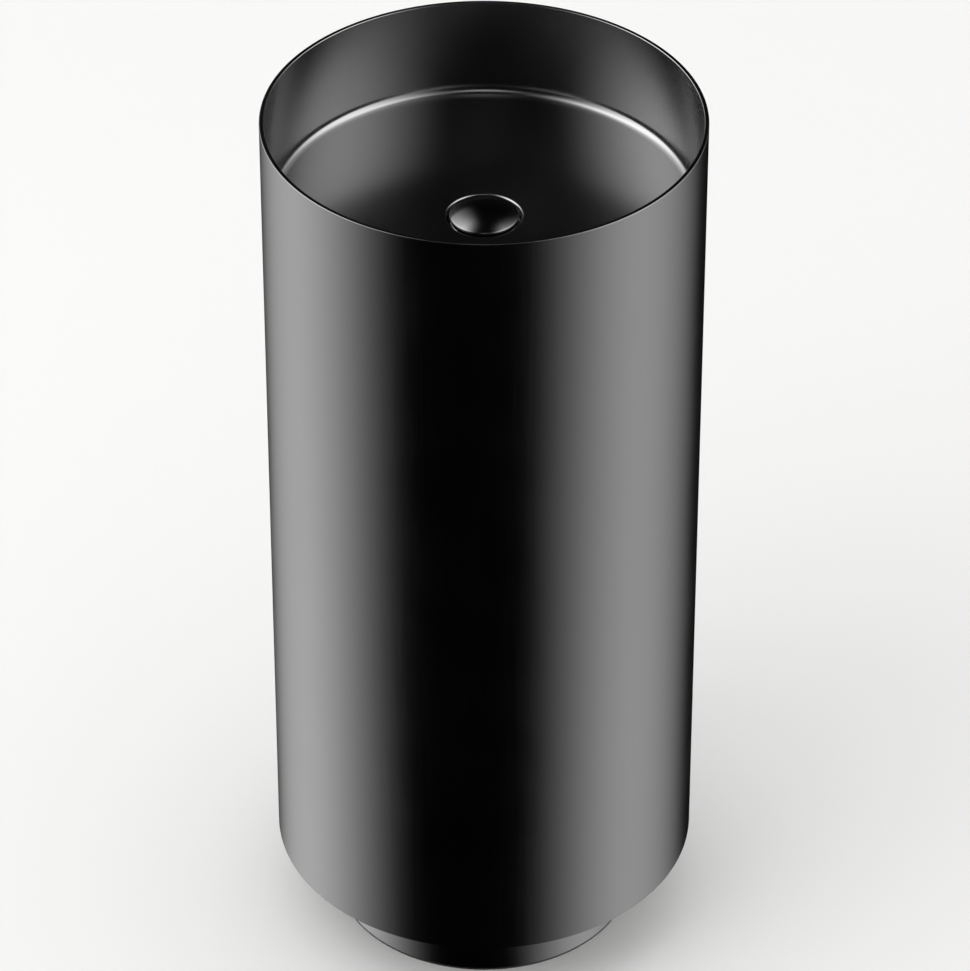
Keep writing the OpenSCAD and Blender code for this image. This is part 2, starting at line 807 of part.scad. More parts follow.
module trap_inlet_washer() {
    color(RUBBER) ring(cone_washer_r, pipe_r + thread_gap, neck_z, cone_washer_t);
}

module trap_inlet_nut() {
    color(GREY_PLASTIC)
        translate([0, 0, neck_z - nut_grip])
            union_nut(neck_r, nut_grip + cone_washer_t, pipe_r + pipe_gap);
}

module trap_cup() {
    color(WHITE_PLASTIC) {
        difference() {
            union() {
                translate([0, 0, cup_z]) cylinder(r = trap_r, h = cup_h);
                translate([0, 0, cup_z + cup_rib_margin])
                    around(cup_ribs, trap_r)
                        cylinder(r = cup_rib_r, h = cup_h - 2 * cup_rib_margin, $fn = 24);
            }
            translate([0, 0, cup_z + cup_floor]) cylinder(r = trap_r - trap_wall, h = cup_h);
        }
        translate([0, 0, cup_z - cup_hex_h]) cylinder(r = cup_hex_r, h = cup_hex_h + cut, $fn = 6);
    }
}

module trap_cup_seal() {
    color(RUBBER) ring(trap_r, skirt_r + thread_gap, trap_z - cup_seal_t, cup_seal_t);
}

// The place of the trap's outlet, with local +Z pointing to the front, at distance y from the centre
module outlet_place(y) {
    translate([0, -y, outlet_z]) rotate([90, 0, 0]) children();
}

module trap_outlet_washer() {
    color(RUBBER) outlet_place(outlet_neck) ring(cone_washer_r, pipe_r + thread_gap, 0, cone_washer_t);
}

module trap_outlet_nut() {
    color(GREY_PLASTIC)
        outlet_place(outlet_neck - nut_grip)
            union_nut(neck_r, nut_grip + cone_washer_t, pipe_r + pipe_gap);
}

module outlet_pipe() {
    entry = outlet_neck - pipe_entry;
    color(WHITE_PLASTIC) {
        outlet_place(entry) ring(pipe_r, pipe_in_r, 0, bend_start - entry);
        translate([0, -bend_start, outlet_z - bend_r])
            rotate([0, -90, 180])
                rotate_extrude(angle = 90)
                    translate([bend_r, 0])
                        difference() {
                            circle(r = pipe_r);
                            circle(r = pipe_in_r);
                        }
        translate([0, -outlet_run, 0]) ring(pipe_r, pipe_in_r, pipe_end_z, outlet_z - bend_r - pipe_end_z);
    }
}

module outlet_seal() {
    color(RUBBER)
        translate([0, -outlet_run, socket_z + socket_floor])
            ring(socket_r - spigot_t - thread_gap, pipe_r + thread_gap, 0, outlet_seal_h);
}

module floor_connector() {
    color(GREY_PLASTIC)
        translate([0, -outlet_run, 0])
            difference() {
                union() {
                    translate([0, 0, connector_z]) cylinder(r = spigot_r, h = spigot_h);
                    translate([0, 0, socket_z]) cylinder(r = socket_r, h = socket_h);
                }
                translate([0, 0, connector_z - cut])
                    cylinder(r = spigot_r - spigot_t, h = spigot_h + socket_floor + 2 * cut);
                translate([0, 0, socket_z + socket_floor]) cylinder(r = socket_r - spigot_t, h = socket_h);
            }
}

outer_shell();
basin_liner();
damping_pad();
base_plate();
plinth_ring();
plinth_bolts();
plinth_washers();
plinth_nuts();
floor_gasket();
floor_ring();
plinth_screws();
hatch_frame();
hatch_gasket();
hatch_nuts();
hatch_panel();
hatch_screws();
waste_body();
waste_seal();
waste_lower_washer();
waste_slip_washer();
waste_backnut();
click_cartridge();
cartridge_gland();
latch_rotor();
return_spring();
plug_spindle();
plug_cap();
plug_seal();
tailpiece();
tailpiece_washer();
tailpiece_nut();
trap_body();
trap_inlet_washer();
trap_inlet_nut();
trap_cup();
trap_cup_seal();
trap_outlet_washer();
trap_outlet_nut();
outlet_pipe();
outlet_seal();
floor_connector();
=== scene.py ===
"""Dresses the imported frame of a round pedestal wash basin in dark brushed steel.

The frame gives every place and most sizes. Each sub-assembly is a class that makes its own meshes where the
frame's are plain, and gives a finish to the frame's nodes where their shape is already right. Sizes in the
classes are millimetres; meshes are metres, in the frame of the part, with the front towards -Y.
"""

import logging
import math
from collections.abc import Mapping, Sequence
from dataclasses import dataclass, field
from enum import Enum
from typing import ClassVar

import bpy
from mathutils import Matrix, Vector


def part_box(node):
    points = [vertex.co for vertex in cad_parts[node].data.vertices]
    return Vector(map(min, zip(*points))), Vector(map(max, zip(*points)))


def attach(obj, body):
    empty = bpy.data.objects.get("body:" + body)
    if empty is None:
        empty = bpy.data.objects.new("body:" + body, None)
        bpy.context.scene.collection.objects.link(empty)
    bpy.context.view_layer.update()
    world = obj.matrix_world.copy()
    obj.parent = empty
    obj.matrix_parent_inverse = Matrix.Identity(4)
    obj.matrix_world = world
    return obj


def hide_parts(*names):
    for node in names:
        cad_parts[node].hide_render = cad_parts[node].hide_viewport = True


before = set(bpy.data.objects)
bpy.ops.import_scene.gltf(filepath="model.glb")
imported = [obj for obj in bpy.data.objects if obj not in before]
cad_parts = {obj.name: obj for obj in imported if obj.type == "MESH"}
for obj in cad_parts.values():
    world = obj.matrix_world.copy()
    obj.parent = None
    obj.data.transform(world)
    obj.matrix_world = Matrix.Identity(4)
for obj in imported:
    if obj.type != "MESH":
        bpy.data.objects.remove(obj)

log = logging.getLogger("basin")

MM = 0.001
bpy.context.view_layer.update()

Point = tuple[float, float]
Place = tuple[float, float, float]
Loop = list[Place]


# ---------------------------------------------------------------- names


class Body(Enum):
    """Bodies of the frame that pieces ride on."""

    PEDESTAL = "pedestal"
    PLUG = "plug"
    HATCH = "hatch"
    CUP = "cup"


class Slot(Enum):
    """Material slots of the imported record."""

    DARK_STEEL = "dark_steel"
    DARK_POLISH = "dark_polish"
    PLAIN_STEEL = "plain_steel"
    ZINC_STEEL = "zinc_steel"
    BRASS = "brass"
    BLACK_RUBBER = "black_rubber"
    WHITE_PLASTIC = "white_plastic"
    GREY_PLASTIC = "grey_plastic"


class Grain(Enum):
    """Ways that a metal surface is worked, which set how its fine lines run."""

    UPRIGHT = "upright"
    TURNED = "turned"


class Cells(Enum):
    """Structures of a soft sheet."""

    FOAM = "foam"
    FELT = "felt"


# ---------------------------------------------------------------- nodes


def linear(hex_colour: str) -> tuple[float, float, float, float]:
    """Turns an sRGB hex colour to a linear colour.

    Args:
        hex_colour: Six hex digits after a hash sign.

    Returns:
        Red, green, blue and alpha.
    """
    channels = [int(hex_colour[i:i + 2], 16) / 255 for i in (1, 3, 5)]
    curved = [c / 12.92 if c <= 0.04045 else ((c + 0.055) / 1.055) ** 2.4 for c in channels]
    return (curved[0], curved[1], curved[2], 1.0)


def add_node(
    tree: bpy.types.NodeTree,
    kind: str,
    inputs: Mapping[str | int, object] | None = None,
    **settings: object,
) -> bpy.types.Node:
    """Adds a node with its settings, constants and links.

    Args:
        tree: The node tree that gets the node.
        kind: The node's type.
        inputs: For each input's name or index, a value or another node's output socket.
        settings: Attributes of the node itself.

    Returns:
        The new node.
    """
    node = tree.nodes.new(kind)
    for name, value in settings.items():
        setattr(node, name, value)
    for key, value in (inputs or {}).items():
        if isinstance(value, bpy.types.NodeSocket):
            tree.links.new(value, node.inputs[key])
        else:
            node.inputs[key].default_value = value
    return node


# ---------------------------------------------------------------- finishes


@dataclass(frozen=True)
class Finish:
    """A surface finish: its name, its colour, how rough it is and how that varies.

    Attributes:
        name: Real material and how its surface was made.
        colour: sRGB hex colour.
        roughness: Roughness of the clean surface.
        patch_mm: Size of the large, faint patches of handling and cleaning.
    """

    name: str
    colour: str
    roughness: float
    patch_mm: float = 90.0

    def material(self) -> bpy.types.Material:
        """Makes the material, once.

        Returns:
            The material.
        """
        known = bpy.data.materials.get(self.name)
        if known:
            return known
        made = bpy.data.materials.new(self.name)
        made.use_nodes = True
        tree = made.node_tree
        surface = tree.nodes["Principled BSDF"]
        where = add_node(tree, "ShaderNodeTexCoord").outputs["Object"]
        self.paint(tree, surface, where)
        return made

    def paint(self, tree: bpy.types.NodeTree, surface: bpy.types.Node, where: bpy.types.NodeSocket) -> None:
        """Adds the finish's own nodes.

        Args:
            tree: The material's node tree.
            surface: The shader that the nodes drive.
            where: Object coordinates, in metres.
        """
        raise NotImplementedError

    def patches(
        self, tree: bpy.types.NodeTree, where: bpy.types.NodeSocket, low: float, high: float
    ) -> bpy.types.NodeSocket:
        """Adds the large faint patches, as a number between low and high.

        Args:
            tree: The material's node tree.
            where: Object coordinates.
            low: The least value.
            high: The most value.

        Returns:
            The socket that gives the number.
        """
        cloud = add_node(
            tree,
            "ShaderNodeTexNoise",
            {"Vector": where, "Scale": 1 / (self.patch_mm * MM), "Detail": 4.0, "Roughness": 0.55},
        )
        spread = add_node(
            tree,
            "ShaderNodeMapRange",
            {"Value": cloud.outputs["Fac"], "From Min": 0.3, "From Max": 0.7, "To Min": low, "To Max": high},
        )
        return spread.outputs["Result"]

    def tint(
        self, tree: bpy.types.NodeTree, amount: bpy.types.NodeSocket, low: float, high: float
    ) -> bpy.types.NodeSocket:
        """Adds the finish's colour, darker and lighter as an amount goes from 0 to 1.

        Args:
            tree: The material's node tree.
            amount: A number from 0 to 1.
            low: What the colour is multiplied by at 0.
            high: What the colour is multiplied by at 1.

        Returns:
            The colour's socket.
        """
        base = linear(self.colour)
        dark = tuple(c * low for c in base[:3]) + (1.0,)
        light = tuple(min(c * high, 1.0) for c in base[:3]) + (1.0,)
        mix = add_node(tree, "ShaderNodeMix", {"Factor": amount, 6: dark, 7: light}, data_type="RGBA")
        return mix.outputs[2]


@dataclass(frozen=True)
class WorkedMetal(Finish):
    """Metal whose surface carries fine lines.

    Attributes:
        grain: How the lines run.
        line_mm: Distance between neighbouring lines.
        line_depth_mm: Depth of the lines.
        contrast: How much the lines change the colour.
        spread: How much the lines change the roughness.
    """

    grain: Grain = Grain.UPRIGHT
    line_mm: float = 0.9
    line_depth_mm: float = 0.004
    contrast: float = 0.06
    spread: float = 0.05

    LINE_LENGTH_MM: ClassVar[float] = 160.0

    def grain_vector(self, tree: bpy.types.NodeTree, where: bpy.types.NodeSocket) -> bpy.types.NodeSocket:
        """Stretches the coordinates along the lines.

        Args:
            tree: The material's node tree.
            where: Object coordinates.

        Returns:
            Coordinates in which one unit is one line across, and far more than one along.
        """
        across = 1 / (self.line_mm * MM)
        along = 1 / (self.LINE_LENGTH_MM * MM)
        if self.grain is Grain.TURNED:
            parts = add_node(tree, "ShaderNodeSeparateXYZ", {"Vector": where})
            flat = add_node(tree, "ShaderNodeCombineXYZ", {"X": parts.outputs["X"], "Y": parts.outputs["Y"]})
            radius = add_node(tree, "ShaderNodeVectorMath", {0: flat.outputs[0]}, operation="LENGTH")
            where = add_node(
                tree, "ShaderNodeCombineXYZ", {"X": radius.outputs["Value"], "Y": parts.outputs["Z"]}
            ).outputs[0]
        scale = (across, across, along)
        return add_node(
            tree, "ShaderNodeVectorMath", {0: where, 1: scale}, operation="MULTIPLY"
        ).outputs["Vector"]

    def paint(self, tree: bpy.types.NodeTree, surface: bpy.types.Node, where: bpy.types.NodeSocket) -> None:
        """Adds lines, patches and a faint bump.

        Args:
            tree: The material's node tree.
            surface: The shader that the nodes drive.
            where: Object coordinates, in metres.
        """
        lines = add_node(
            tree,
            "ShaderNodeTexNoise",
            {"Vector": self.grain_vector(tree, where), "Scale": 1.0, "Detail": 3.0, "Roughness": 0.6},
        ).outputs["Fac"]
        contrast = self.contrast
        surface.inputs["Metallic"].default_value = 1.0
        tree.links.new(self.tint(tree, lines, 1 - contrast, 1 + contrast), surface.inputs["Base Color"])
        rough = add_node(
            tree,
            "ShaderNodeMapRange",
            {
                "Value": lines,
                "From Min": 0.25,
                "From Max": 0.75,
                "To Min": -self.spread,
                "To Max": self.spread,
            },
        )
        patches = self.patches(tree, where, self.roughness - 0.015, self.roughness + 0.02)
        total = add_node(
            tree, "ShaderNodeMath", {0: rough.outputs["Result"], 1: patches}, operation="ADD", use_clamp=True
        )
        tree.links.new(total.outputs[0], surface.inputs["Roughness"])
        bump = add_node(
            tree,
            "ShaderNodeBump",
            {"Height": lines, "Strength": 0.5, "Distance": self.line_depth_mm * MM},
        )
        tree.links.new(bump.outputs["Normal"], surface.inputs["Normal"])


@dataclass(frozen=True)
class PlatedMetal(Finish):
    """Zinc plate, whose crystals give the light small soft fields.

    Attributes:
        crystal_mm: Width of a crystal.
    """

    crystal_mm: float = 1.4

    def paint(self, tree: bpy.types.NodeTree, surface: bpy.types.Node, where: bpy.types.NodeSocket) -> None:
        """Adds crystals and patches.

        Args:
            tree: The material's node tree.
            surface: The shader that the nodes drive.
            where: Object coordinates, in metres.
        """
        crystals = add_node(
            tree, "ShaderNodeTexVoronoi", {"Vector": where, "Scale": 1 / (self.crystal_mm * MM)}
        )
        shade = add_node(tree, "ShaderNodeSeparateColor", {"Color": crystals.outputs["Color"]})
        surface.inputs["Metallic"].default_value = 1.0
        tree.links.new(self.tint(tree, shade.outputs[0], 0.9, 1.08), surface.inputs["Base Color"])
        field_rough = add_node(
            tree,
            "ShaderNodeMapRange",
            {"Value": shade.outputs[1], "To Min": -0.05, "To Max": 0.05},
        )
        patches = self.patches(tree, where, self.roughness - 0.03, self.roughness + 0.06)
        total = add_node(
            tree, "ShaderNodeMath", {0: field_rough.outputs["Result"], 1: patches}, operation="ADD"
        )
        tree.links.new(total.outputs[0], surface.inputs["Roughness"])


@dataclass(frozen=True)
class Moulded(Finish):
    """Moulded plastic or rubber with the fine texture of its mould.

    Attributes:
        texture_mm: Distance between the pits of the mould's texture.
        texture_depth_mm: Depth of the pits.
        mottle: How much the colour varies in large soft patches.
        ior: Index of refraction.
        glow: How much light passes below the surface.
    """

    texture_mm: float = 0.5
    texture_depth_mm: float = 0.02
    mottle: float = 0.05
    ior: float = 1.49
    glow: float = 0.0

    def paint(self, tree: bpy.types.NodeTree, surface: bpy.types.Node, where: bpy.types.NodeSocket) -> None:
        """Adds mould texture, soft colour patches and a bump.

        Args:
            tree: The material's node tree.
            surface: The shader that the nodes drive.
            where: Object coordinates, in metres.
        """
        surface.inputs["IOR"].default_value = self.ior
        surface.inputs["Subsurface Weight"].default_value = self.glow
        surface.inputs["Subsurface Scale"].default_value = 2 * MM
        clouds = self.patches(tree, where, 0.0, 1.0)
        tree.links.new(
            self.tint(tree, clouds, 1 - self.mottle, 1 + self.mottle), surface.inputs["Base Color"]
        )
        tree.links.new(
            self.patches(tree, where, self.roughness - 0.04, self.roughness + 0.05),
            surface.inputs["Roughness"],
        )
        pits = add_node(
            tree,
            "ShaderNodeTexNoise",
            {"Vector": where, "Scale": 1 / (self.texture_mm * MM), "Detail": 2.0},
        )
        bump = add_node(
            tree,
            "ShaderNodeBump",
            {"Height": pits.outputs["Fac"], "Strength": 0.6, "Distance": self.texture_depth_mm * MM},
        )
        tree.links.new(bump.outputs["Normal"], surface.inputs["Normal"])


@dataclass(frozen=True)
class Cellular(Finish):
    """A soft sheet made of cells or of fibres.

    Attributes:
        cells: Its structure.
        cell_mm: Width of a cell, or distance between fibre tufts.
        cell_depth_mm: Depth of the cells at the surface.
    """

    cells: Cells = Cells.FOAM
    cell_mm: float = 0.8
    cell_depth_mm: float = 0.15

    def paint(self, tree: bpy.types.NodeTree, surface: bpy.types.Node, where: bpy.types.NodeSocket) -> None:
        """Adds open cells or matted fibres, with painted shade in their hollows.

        Args:
            tree: The material's node tree.
            surface: The shader that the nodes drive.
            where: Object coordinates, in metres.
        """
        scale = 1 / (self.cell_mm * MM)
        if self.cells is Cells.FOAM:
            cells = add_node(tree, "ShaderNodeTexVoronoi", {"Vector": where, "Scale": scale})
            height = cells.outputs["Distance"]
        else:
            height = add_node(
                tree,
                "ShaderNodeTexNoise",
                {"Vector": where, "Scale": scale, "Detail": 6.0, "Roughness": 0.75, "Distortion": 1.5},
            ).outputs["Fac"]
        # Painted shade: the colour follows the height, 0.7 of the base colour at the bottom of the cells and
        # between the fibres, up to 1.4 on the rims and tufts.
        tree.links.new(self.tint(tree, height, 0.7, 1.4), surface.inputs["Base Color"])
        tree.links.new(
            self.patches(tree, where, self.roughness - 0.05, self.roughness + 0.05),
            surface.inputs["Roughness"],
        )
        bump = add_node(
            tree,
            "ShaderNodeBump",
            {"Height": height, "Strength": 0.8, "Distance": self.cell_depth_mm * MM},
        )
        tree.links.new(bump.outputs["Normal"], surface.inputs["Normal"])


# Rolled stainless sheet, brushed upright and coated dark: a satin with very fine lines from rim to foot.
# The real lines are 0.1 mm apart, drawn coarser so that they show.
BRUSHED_WALL = WorkedMetal(
    "Stainless steel, brushed upright and coated gunmetal",
    "#717171",
    0.22,
    grain=Grain.UPRIGHT,
    line_mm=0.8,
    contrast=0.05,
    spread=0.03,
)
# Spun stainless bowl in the same coat: the polishing wheel leaves faint rings, softer than the wall's lines.
SPUN_BOWL = WorkedMetal(
    "Stainless steel, spun and coated gunmetal",
    "#818181",
    0.21,
    grain=Grain.TURNED,
    line_mm=0.7,
    contrast=0.015,
    spread=0.01,
    line_depth_mm=0.0003,
)
# The plug is buffed before it is coated, so it mirrors the room more sharply than the bowl.
BUFFED_PLUG = WorkedMetal(
    "Stainless steel, buffed and coated gunmetal",
    "#696969",
    0.15,
    grain=Grain.TURNED,
    line_mm=0.5,
    contrast=0.02,
    spread=0.02,
    line_depth_mm=0.0006,
)
# Bare sheet and turned parts that nobody sees in use: a light, even satin.
BARE_STEEL = WorkedMetal(
    "Stainless steel, bare and turned",
    "#c9cac8",
    0.32,
    grain=Grain.TURNED,
    line_mm=0.5,
    contrast=0.04,
)
# Bright zinc on fasteners: crystals under a millimetre wide, drawn coarser so that they show.
PLATED_STEEL = PlatedMetal("Carbon steel, zinc plated", "#c4c8cc", 0.38)
# Lathe marks run round the brass parts, 0.1 mm apart, drawn coarser so that they show.
TURNED_BRASS = WorkedMetal(
    "Brass, turned on a lathe", "#c8a45a", 0.28, grain=Grain.TURNED, line_mm=0.4, contrast=0.06
)
# Synthetic rubber washers: nearly black, matt, with a faint grey bloom.
WASHER_RUBBER = Moulded(
    "Synthetic rubber, moulded",
    "#232323",
    0.72,
    texture_mm=0.6,
    texture_depth_mm=0.03,
    mottle=0.18,
    ior=1.52,
)
# Polypropylene fittings come out of the mould with a waxy, slightly see-through white.
WHITE_FITTING = Moulded(
    "Polypropylene, moulded white", "#e9e8e3", 0.38, texture_mm=0.8, texture_depth_mm=0.015, glow=0.15
)
# The nuts and the floor connector are the same plastic in grey, a little more matt.
GREY_FITTING = Moulded("Polypropylene, moulded grey", "#8a8d91", 0.42, texture_mm=0.7, mottle=0.06)
# Closed cells, cut open at the sheet's faces.
HATCH_FOAM = Cellular("Neoprene foam, cut from sheet", "#1d1d1e", 0.85, cells=Cells.FOAM)
# Matted fibres in bitumen, pressed flat: dark, dull and uneven.
SOUND_PAD = Cellular(
    "Bitumen felt, pressed sheet", "#2b2a29", 0.8, cells=Cells.FELT, cell_mm=1.6, cell_depth_mm=0.3
)
# The studio's floor: rolled paint, with marks too wide and faint to draw the eye.
STUDIO_PAINT = Moulded(
    "Emulsion paint, rolled pale", "#f4f4f3", 0.9, texture_mm=2.0, mottle=0.005, patch_mm=900
)


# ---------------------------------------------------------------- meshes


def box_mm(node: str) -> tuple[Vector, Vector]:
    """Gives a frame node's box in millimetres.

    Args:
        node: The node's name.

    Returns:
        Its lowest and highest corners.
    """
    low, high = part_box(node)
    return low / MM, high / MM


def arc(centre: Point, radius: float, start: float, end: float, steps: int = 12) -> list[Point]:
    """Gives points along an arc.

    Args:
        centre: The arc's centre.
        radius: Its radius.
        start: Angle of the first point, in degrees.
        end: Angle of the last point, in degrees.
        steps: Number of straight steps.

    Returns:
        The points, both ends included.
    """
    turns = [math.radians(start + (end - start) * i / steps) for i in range(steps + 1)]
    return [(centre[0] + radius * math.cos(t), centre[1] + radius * math.sin(t)) for t in turns]


def evenly(start: float, end: float, count: int) -> list[float]:
    """Gives evenly spaced values from the start, without the end."""
    return [start + (end - start) * i / count for i in range(count)]


def toward(start: Sequence[float], end: Sequence[float], share: float) -> tuple[float, ...]:
    """Gives the point that lies a share of the way from the start to the end."""
    return tuple(a + (b - a) * share for a, b in zip(start, end))


@dataclass
class Skin:
    """Vertices and faces of a mesh while it is put together.

    Attributes:
        places: The vertices, in millimetres.
        faces: Vertex numbers of each face, counter-clockwise from outside.
    """

    places: list[Place] = field(default_factory=list)
    faces: list[tuple[int, ...]] = field(default_factory=list)

    def row(self, places: Sequence[Place]) -> list[int]:
        """Adds a row of vertices and returns their numbers."""
        self.places.extend(places)
        return list(range(len(self.places) - len(places), len(self.places)))

    def join(self, lower: Sequence[int], upper: Sequence[int], closed: bool = True) -> None:
        """Joins two rows by quads, or by triangles where one of them is a pole.

        Args:
            lower: Vertex numbers of one row.
            upper: Vertex numbers of the other, as many, or one.
            closed: Whether the last vertex joins the first again.
        """
        count = max(len(lower), len(upper))
        for i in range(count if closed else count - 1):
            k = (i + 1) % count
            if len(lower) == 1:
                self.faces.append((lower[0], upper[k], upper[i]))
            elif len(upper) == 1:
                self.faces.append((lower[i], lower[k], upper[0]))
            else:
                self.faces.append((lower[i], lower[k], upper[k], upper[i]))

    def made(self, name: str, sharp: float = 35.0) -> bpy.types.Object:
        """Makes an object of the skin, smooth except over sharp edges.

        Args:
            name: The object's name.
            sharp: Edges that bend by more than this many degrees stay sharp.

        Returns:
            The object, linked to the scene.
        """
        mesh = bpy.data.meshes.new(name)
        mesh.from_pydata([tuple(c * MM for c in place) for place in self.places], [], self.faces)
        mesh.validate()
        mesh.shade_smooth()
        mesh.set_sharp_from_angle(angle=math.radians(sharp))
        piece = bpy.data.objects.new(name, mesh)
        bpy.context.scene.collection.objects.link(piece)
        return piece


def lofted(name: str, loops: Sequence[Loop], sharp: float = 35.0, closed: bool = True) -> bpy.types.Object:
    """Makes a skin over closed loops of places, each joined to the next.

    Args:
        name: The object's name.
        loops: The loops, which all have the same count, or one place where the skin closes to a pole.
        sharp: Edges that bend by more than this many degrees stay sharp.
        closed: Whether the last loop joins the first.

    Returns:
        The object.
    """
    skin = Skin()
    rows = [skin.row(loop) for loop in loops]
    following = rows[1:] + rows[:1] if closed else rows[1:]
    for lower, upper in zip(rows, following):
        if len(lower) > 1 or len(upper) > 1:
            skin.join(lower, upper)
    return skin.made(name, sharp)


def rings(profile: Sequence[Point], segments: int) -> list[Loop]:
    """Gives a circle for each corner of a profile, or one place for a corner on the axis.

    Args:
        profile: Radius and height of each corner.
        segments: Number of steps round the axis.

    Returns:
        The circles.
    """
    turns = [2 * math.pi * i / segments for i in range(segments)]
    return [
        [(0.0, 0.0, z)] if r < 1e-6 else [(r * math.cos(t), r * math.sin(t), z) for t in turns]
        for r, z in profile
    ]


def turned(name: str, profile: Sequence[Point], segments: int = 96, sharp: float = 35.0) -> bpy.types.Object:
    """Turns a closed profile of radius and height round the upright axis.

    Args:
        name: The object's name.
        profile: Its corners, counter-clockwise with radius to the right and height up.
        segments: Number of steps round the axis.
        sharp: Edges that bend by more than this many degrees stay sharp.

    Returns:
        The object. A profile that starts and ends on the axis closes there to a pole.
    """
    return lofted(name, rings(profile, segments), sharp)


def hexagon_radius(corner_r: float, turn: float) -> float:
    """Gives the distance from a hexagon's middle to its outline.

    Args:
        corner_r: Distance to a corner.
        turn: Direction, in radians; a corner lies at 0.

    Returns:
        The distance.
    """
    sixth = math.pi / 3
    return corner_r * math.cos(sixth / 2) / math.cos(turn % sixth - sixth / 2)


def hex_nut(
    name: str,
    corner_r: float,
    bottom: float,
    height: float,
    bore: Sequence[Point] = (),
    steps: int = 48,
) -> bpy.types.Object:
    """Makes a chamfered hexagon, with a bore where it has one.

    Args:
        name: The object's name.
        corner_r: Distance from the axis to a corner.
        bottom: Height of the underside.
        height: Height of the hexagon.
        bore: Radius and height of the bore's corners, from the top down; none for a solid head.
        steps: Number of steps round the axis, a multiple of six.

    Returns:
        The object.
    """
    flat_r = corner_r * math.cos(math.pi / 6) * 0.985
    slope = math.tan(math.radians(30))
    turns = [2 * math.pi * i / steps for i in range(steps)]

    def rim(inset_bottom: bool) -> Loop:
        """Gives the edge where the flats meet the chamfer's cone.

        Args:
            inset_bottom: Whether it is the edge at the bottom.

        Returns:
            The edge.
        """
        loop = []
        for turn in turns:
            radius = hexagon_radius(corner_r, turn)
            cut = (radius - flat_r) * slope
            z = bottom + cut if inset_bottom else bottom + height - cut
            loop.append((radius * math.cos(turn), radius * math.sin(turn), z))
        return loop

    def circle(radius: float, z: float) -> Loop:
        """Gives a circle at a height."""
        return [(radius * math.cos(turn), radius * math.sin(turn), z) for turn in turns]

    loops = [circle(flat_r, bottom), rim(True), rim(False), circle(flat_r, bottom + height)]
    if bore:
        loops += [circle(radius, z) for radius, z in bore]
    else:
        loops = [[(0.0, 0.0, bottom)]] + loops + [[(0.0, 0.0, bottom + height)]]
    return lofted(name, loops, sharp=25.0, closed=bool(bore))


def thread(radius: float, start: float, end: float, pitch: float) -> list[Point]:
    """Gives the outline of a screw thread, as rings that stand for its helix.

    Args:
        radius: Radius over the crests.
        start: Height of one end.
        end: Height of the other.
        pitch: Distance between crests.

    Returns:
        The outline's corners from start to end.
    """
    root = radius - 0.6 * pitch
    count = max(int(abs(end - start) / pitch), 1)
    step = (end - start) / count
    points: list[Point] = []
    for i in range(count):
        z = start + i * step
        points += [(root, z + 0.06 * step), (radius, z + 0.44 * step), (radius, z + 0.56 * step)]
    return points + [(root, end - 0.06 * step)]


def moved(piece: bpy.types.Object, matrix: Matrix) -> bpy.types.Object:
    """Moves a piece's mesh, so that its object stays at the origin.

    Args:
        piece: The piece.
        matrix: The move, in metres.

    Returns:
        The same piece.
    """
    piece.data.transform(matrix)
    return piece


# ---------------------------------------------------------------- geometry nodes


@dataclass
class NodeShape:
    """A tree of geometry nodes with named sizes, used on one piece at a time.

    Attributes:
        name: The tree's name.
        tree: The node tree.
        sockets: Identifier of each named input.
    """

    name: str
    tree: bpy.types.NodeTree = field(init=False)
    sockets: dict[str, str] = field(init=False, default_factory=dict)

    def __post_init__(self) -> None:
        """Makes the tree with its geometry and material sockets, then its own nodes."""
        self.tree = bpy.data.node_groups.new(self.name, "GeometryNodeTree")
        self.add_socket("Geometry", "NodeSocketGeometry")
        self.tree.interface.new_socket(name="Geometry", in_out="OUTPUT", socket_type="NodeSocketGeometry")
        self.add_socket("Material", "NodeSocketMaterial")
        self.declare()
        start = add_node(self.tree, "NodeGroupInput")
        shape = self.shape(start.outputs)
        real = add_node(self.tree, "GeometryNodeRealizeInstances", {"Geometry": shape})
        dressed = add_node(
            self.tree,
            "GeometryNodeSetMaterial",
            {"Geometry": real.outputs["Geometry"], "Material": start.outputs["Material"]},
        )
        add_node(self.tree, "NodeGroupOutput", {"Geometry": dressed.outputs["Geometry"]})

    def add_socket(self, name: str, kind: str) -> None:
        """Adds a named input and keeps its identifier."""
        socket = self.tree.interface.new_socket(name=name, in_out="INPUT", socket_type=kind)
        self.sockets[name] = socket.identifier

    def declare(self) -> None:
        """Adds the tree's own named inputs."""
        raise NotImplementedError

    def shape(self, given: bpy.types.NodeOutputs) -> bpy.types.NodeSocket:
        """Adds the nodes that make the shape, and returns the socket with its geometry."""
        raise NotImplementedError

    def apply(self, piece: bpy.types.Object, finish: Finish, **sizes: float) -> bpy.types.Object:
        """Runs the tree on a piece and keeps the result as a plain mesh.

        Args:
            piece: The piece whose mesh goes in.
            finish: The finish that the result gets.
            sizes: Values of the named inputs, with spaces in the names written as underscores.

        Returns:
            The same piece, with its new mesh and no modifier.
        """
        modifier = piece.modifiers.new(self.name, "NODES")
        modifier.node_group = self.tree
        modifier[self.sockets["Material"]] = finish.material()
        for name, value in sizes.items():
            modifier[self.sockets[name.replace("_", " ")]] = value
        graph = bpy.context.evaluated_depsgraph_get()
        mesh = bpy.data.meshes.new_from_object(piece.evaluated_get(graph))
        piece.modifiers.clear()
        piece.data = mesh
        mesh.name = piece.name
        return piece


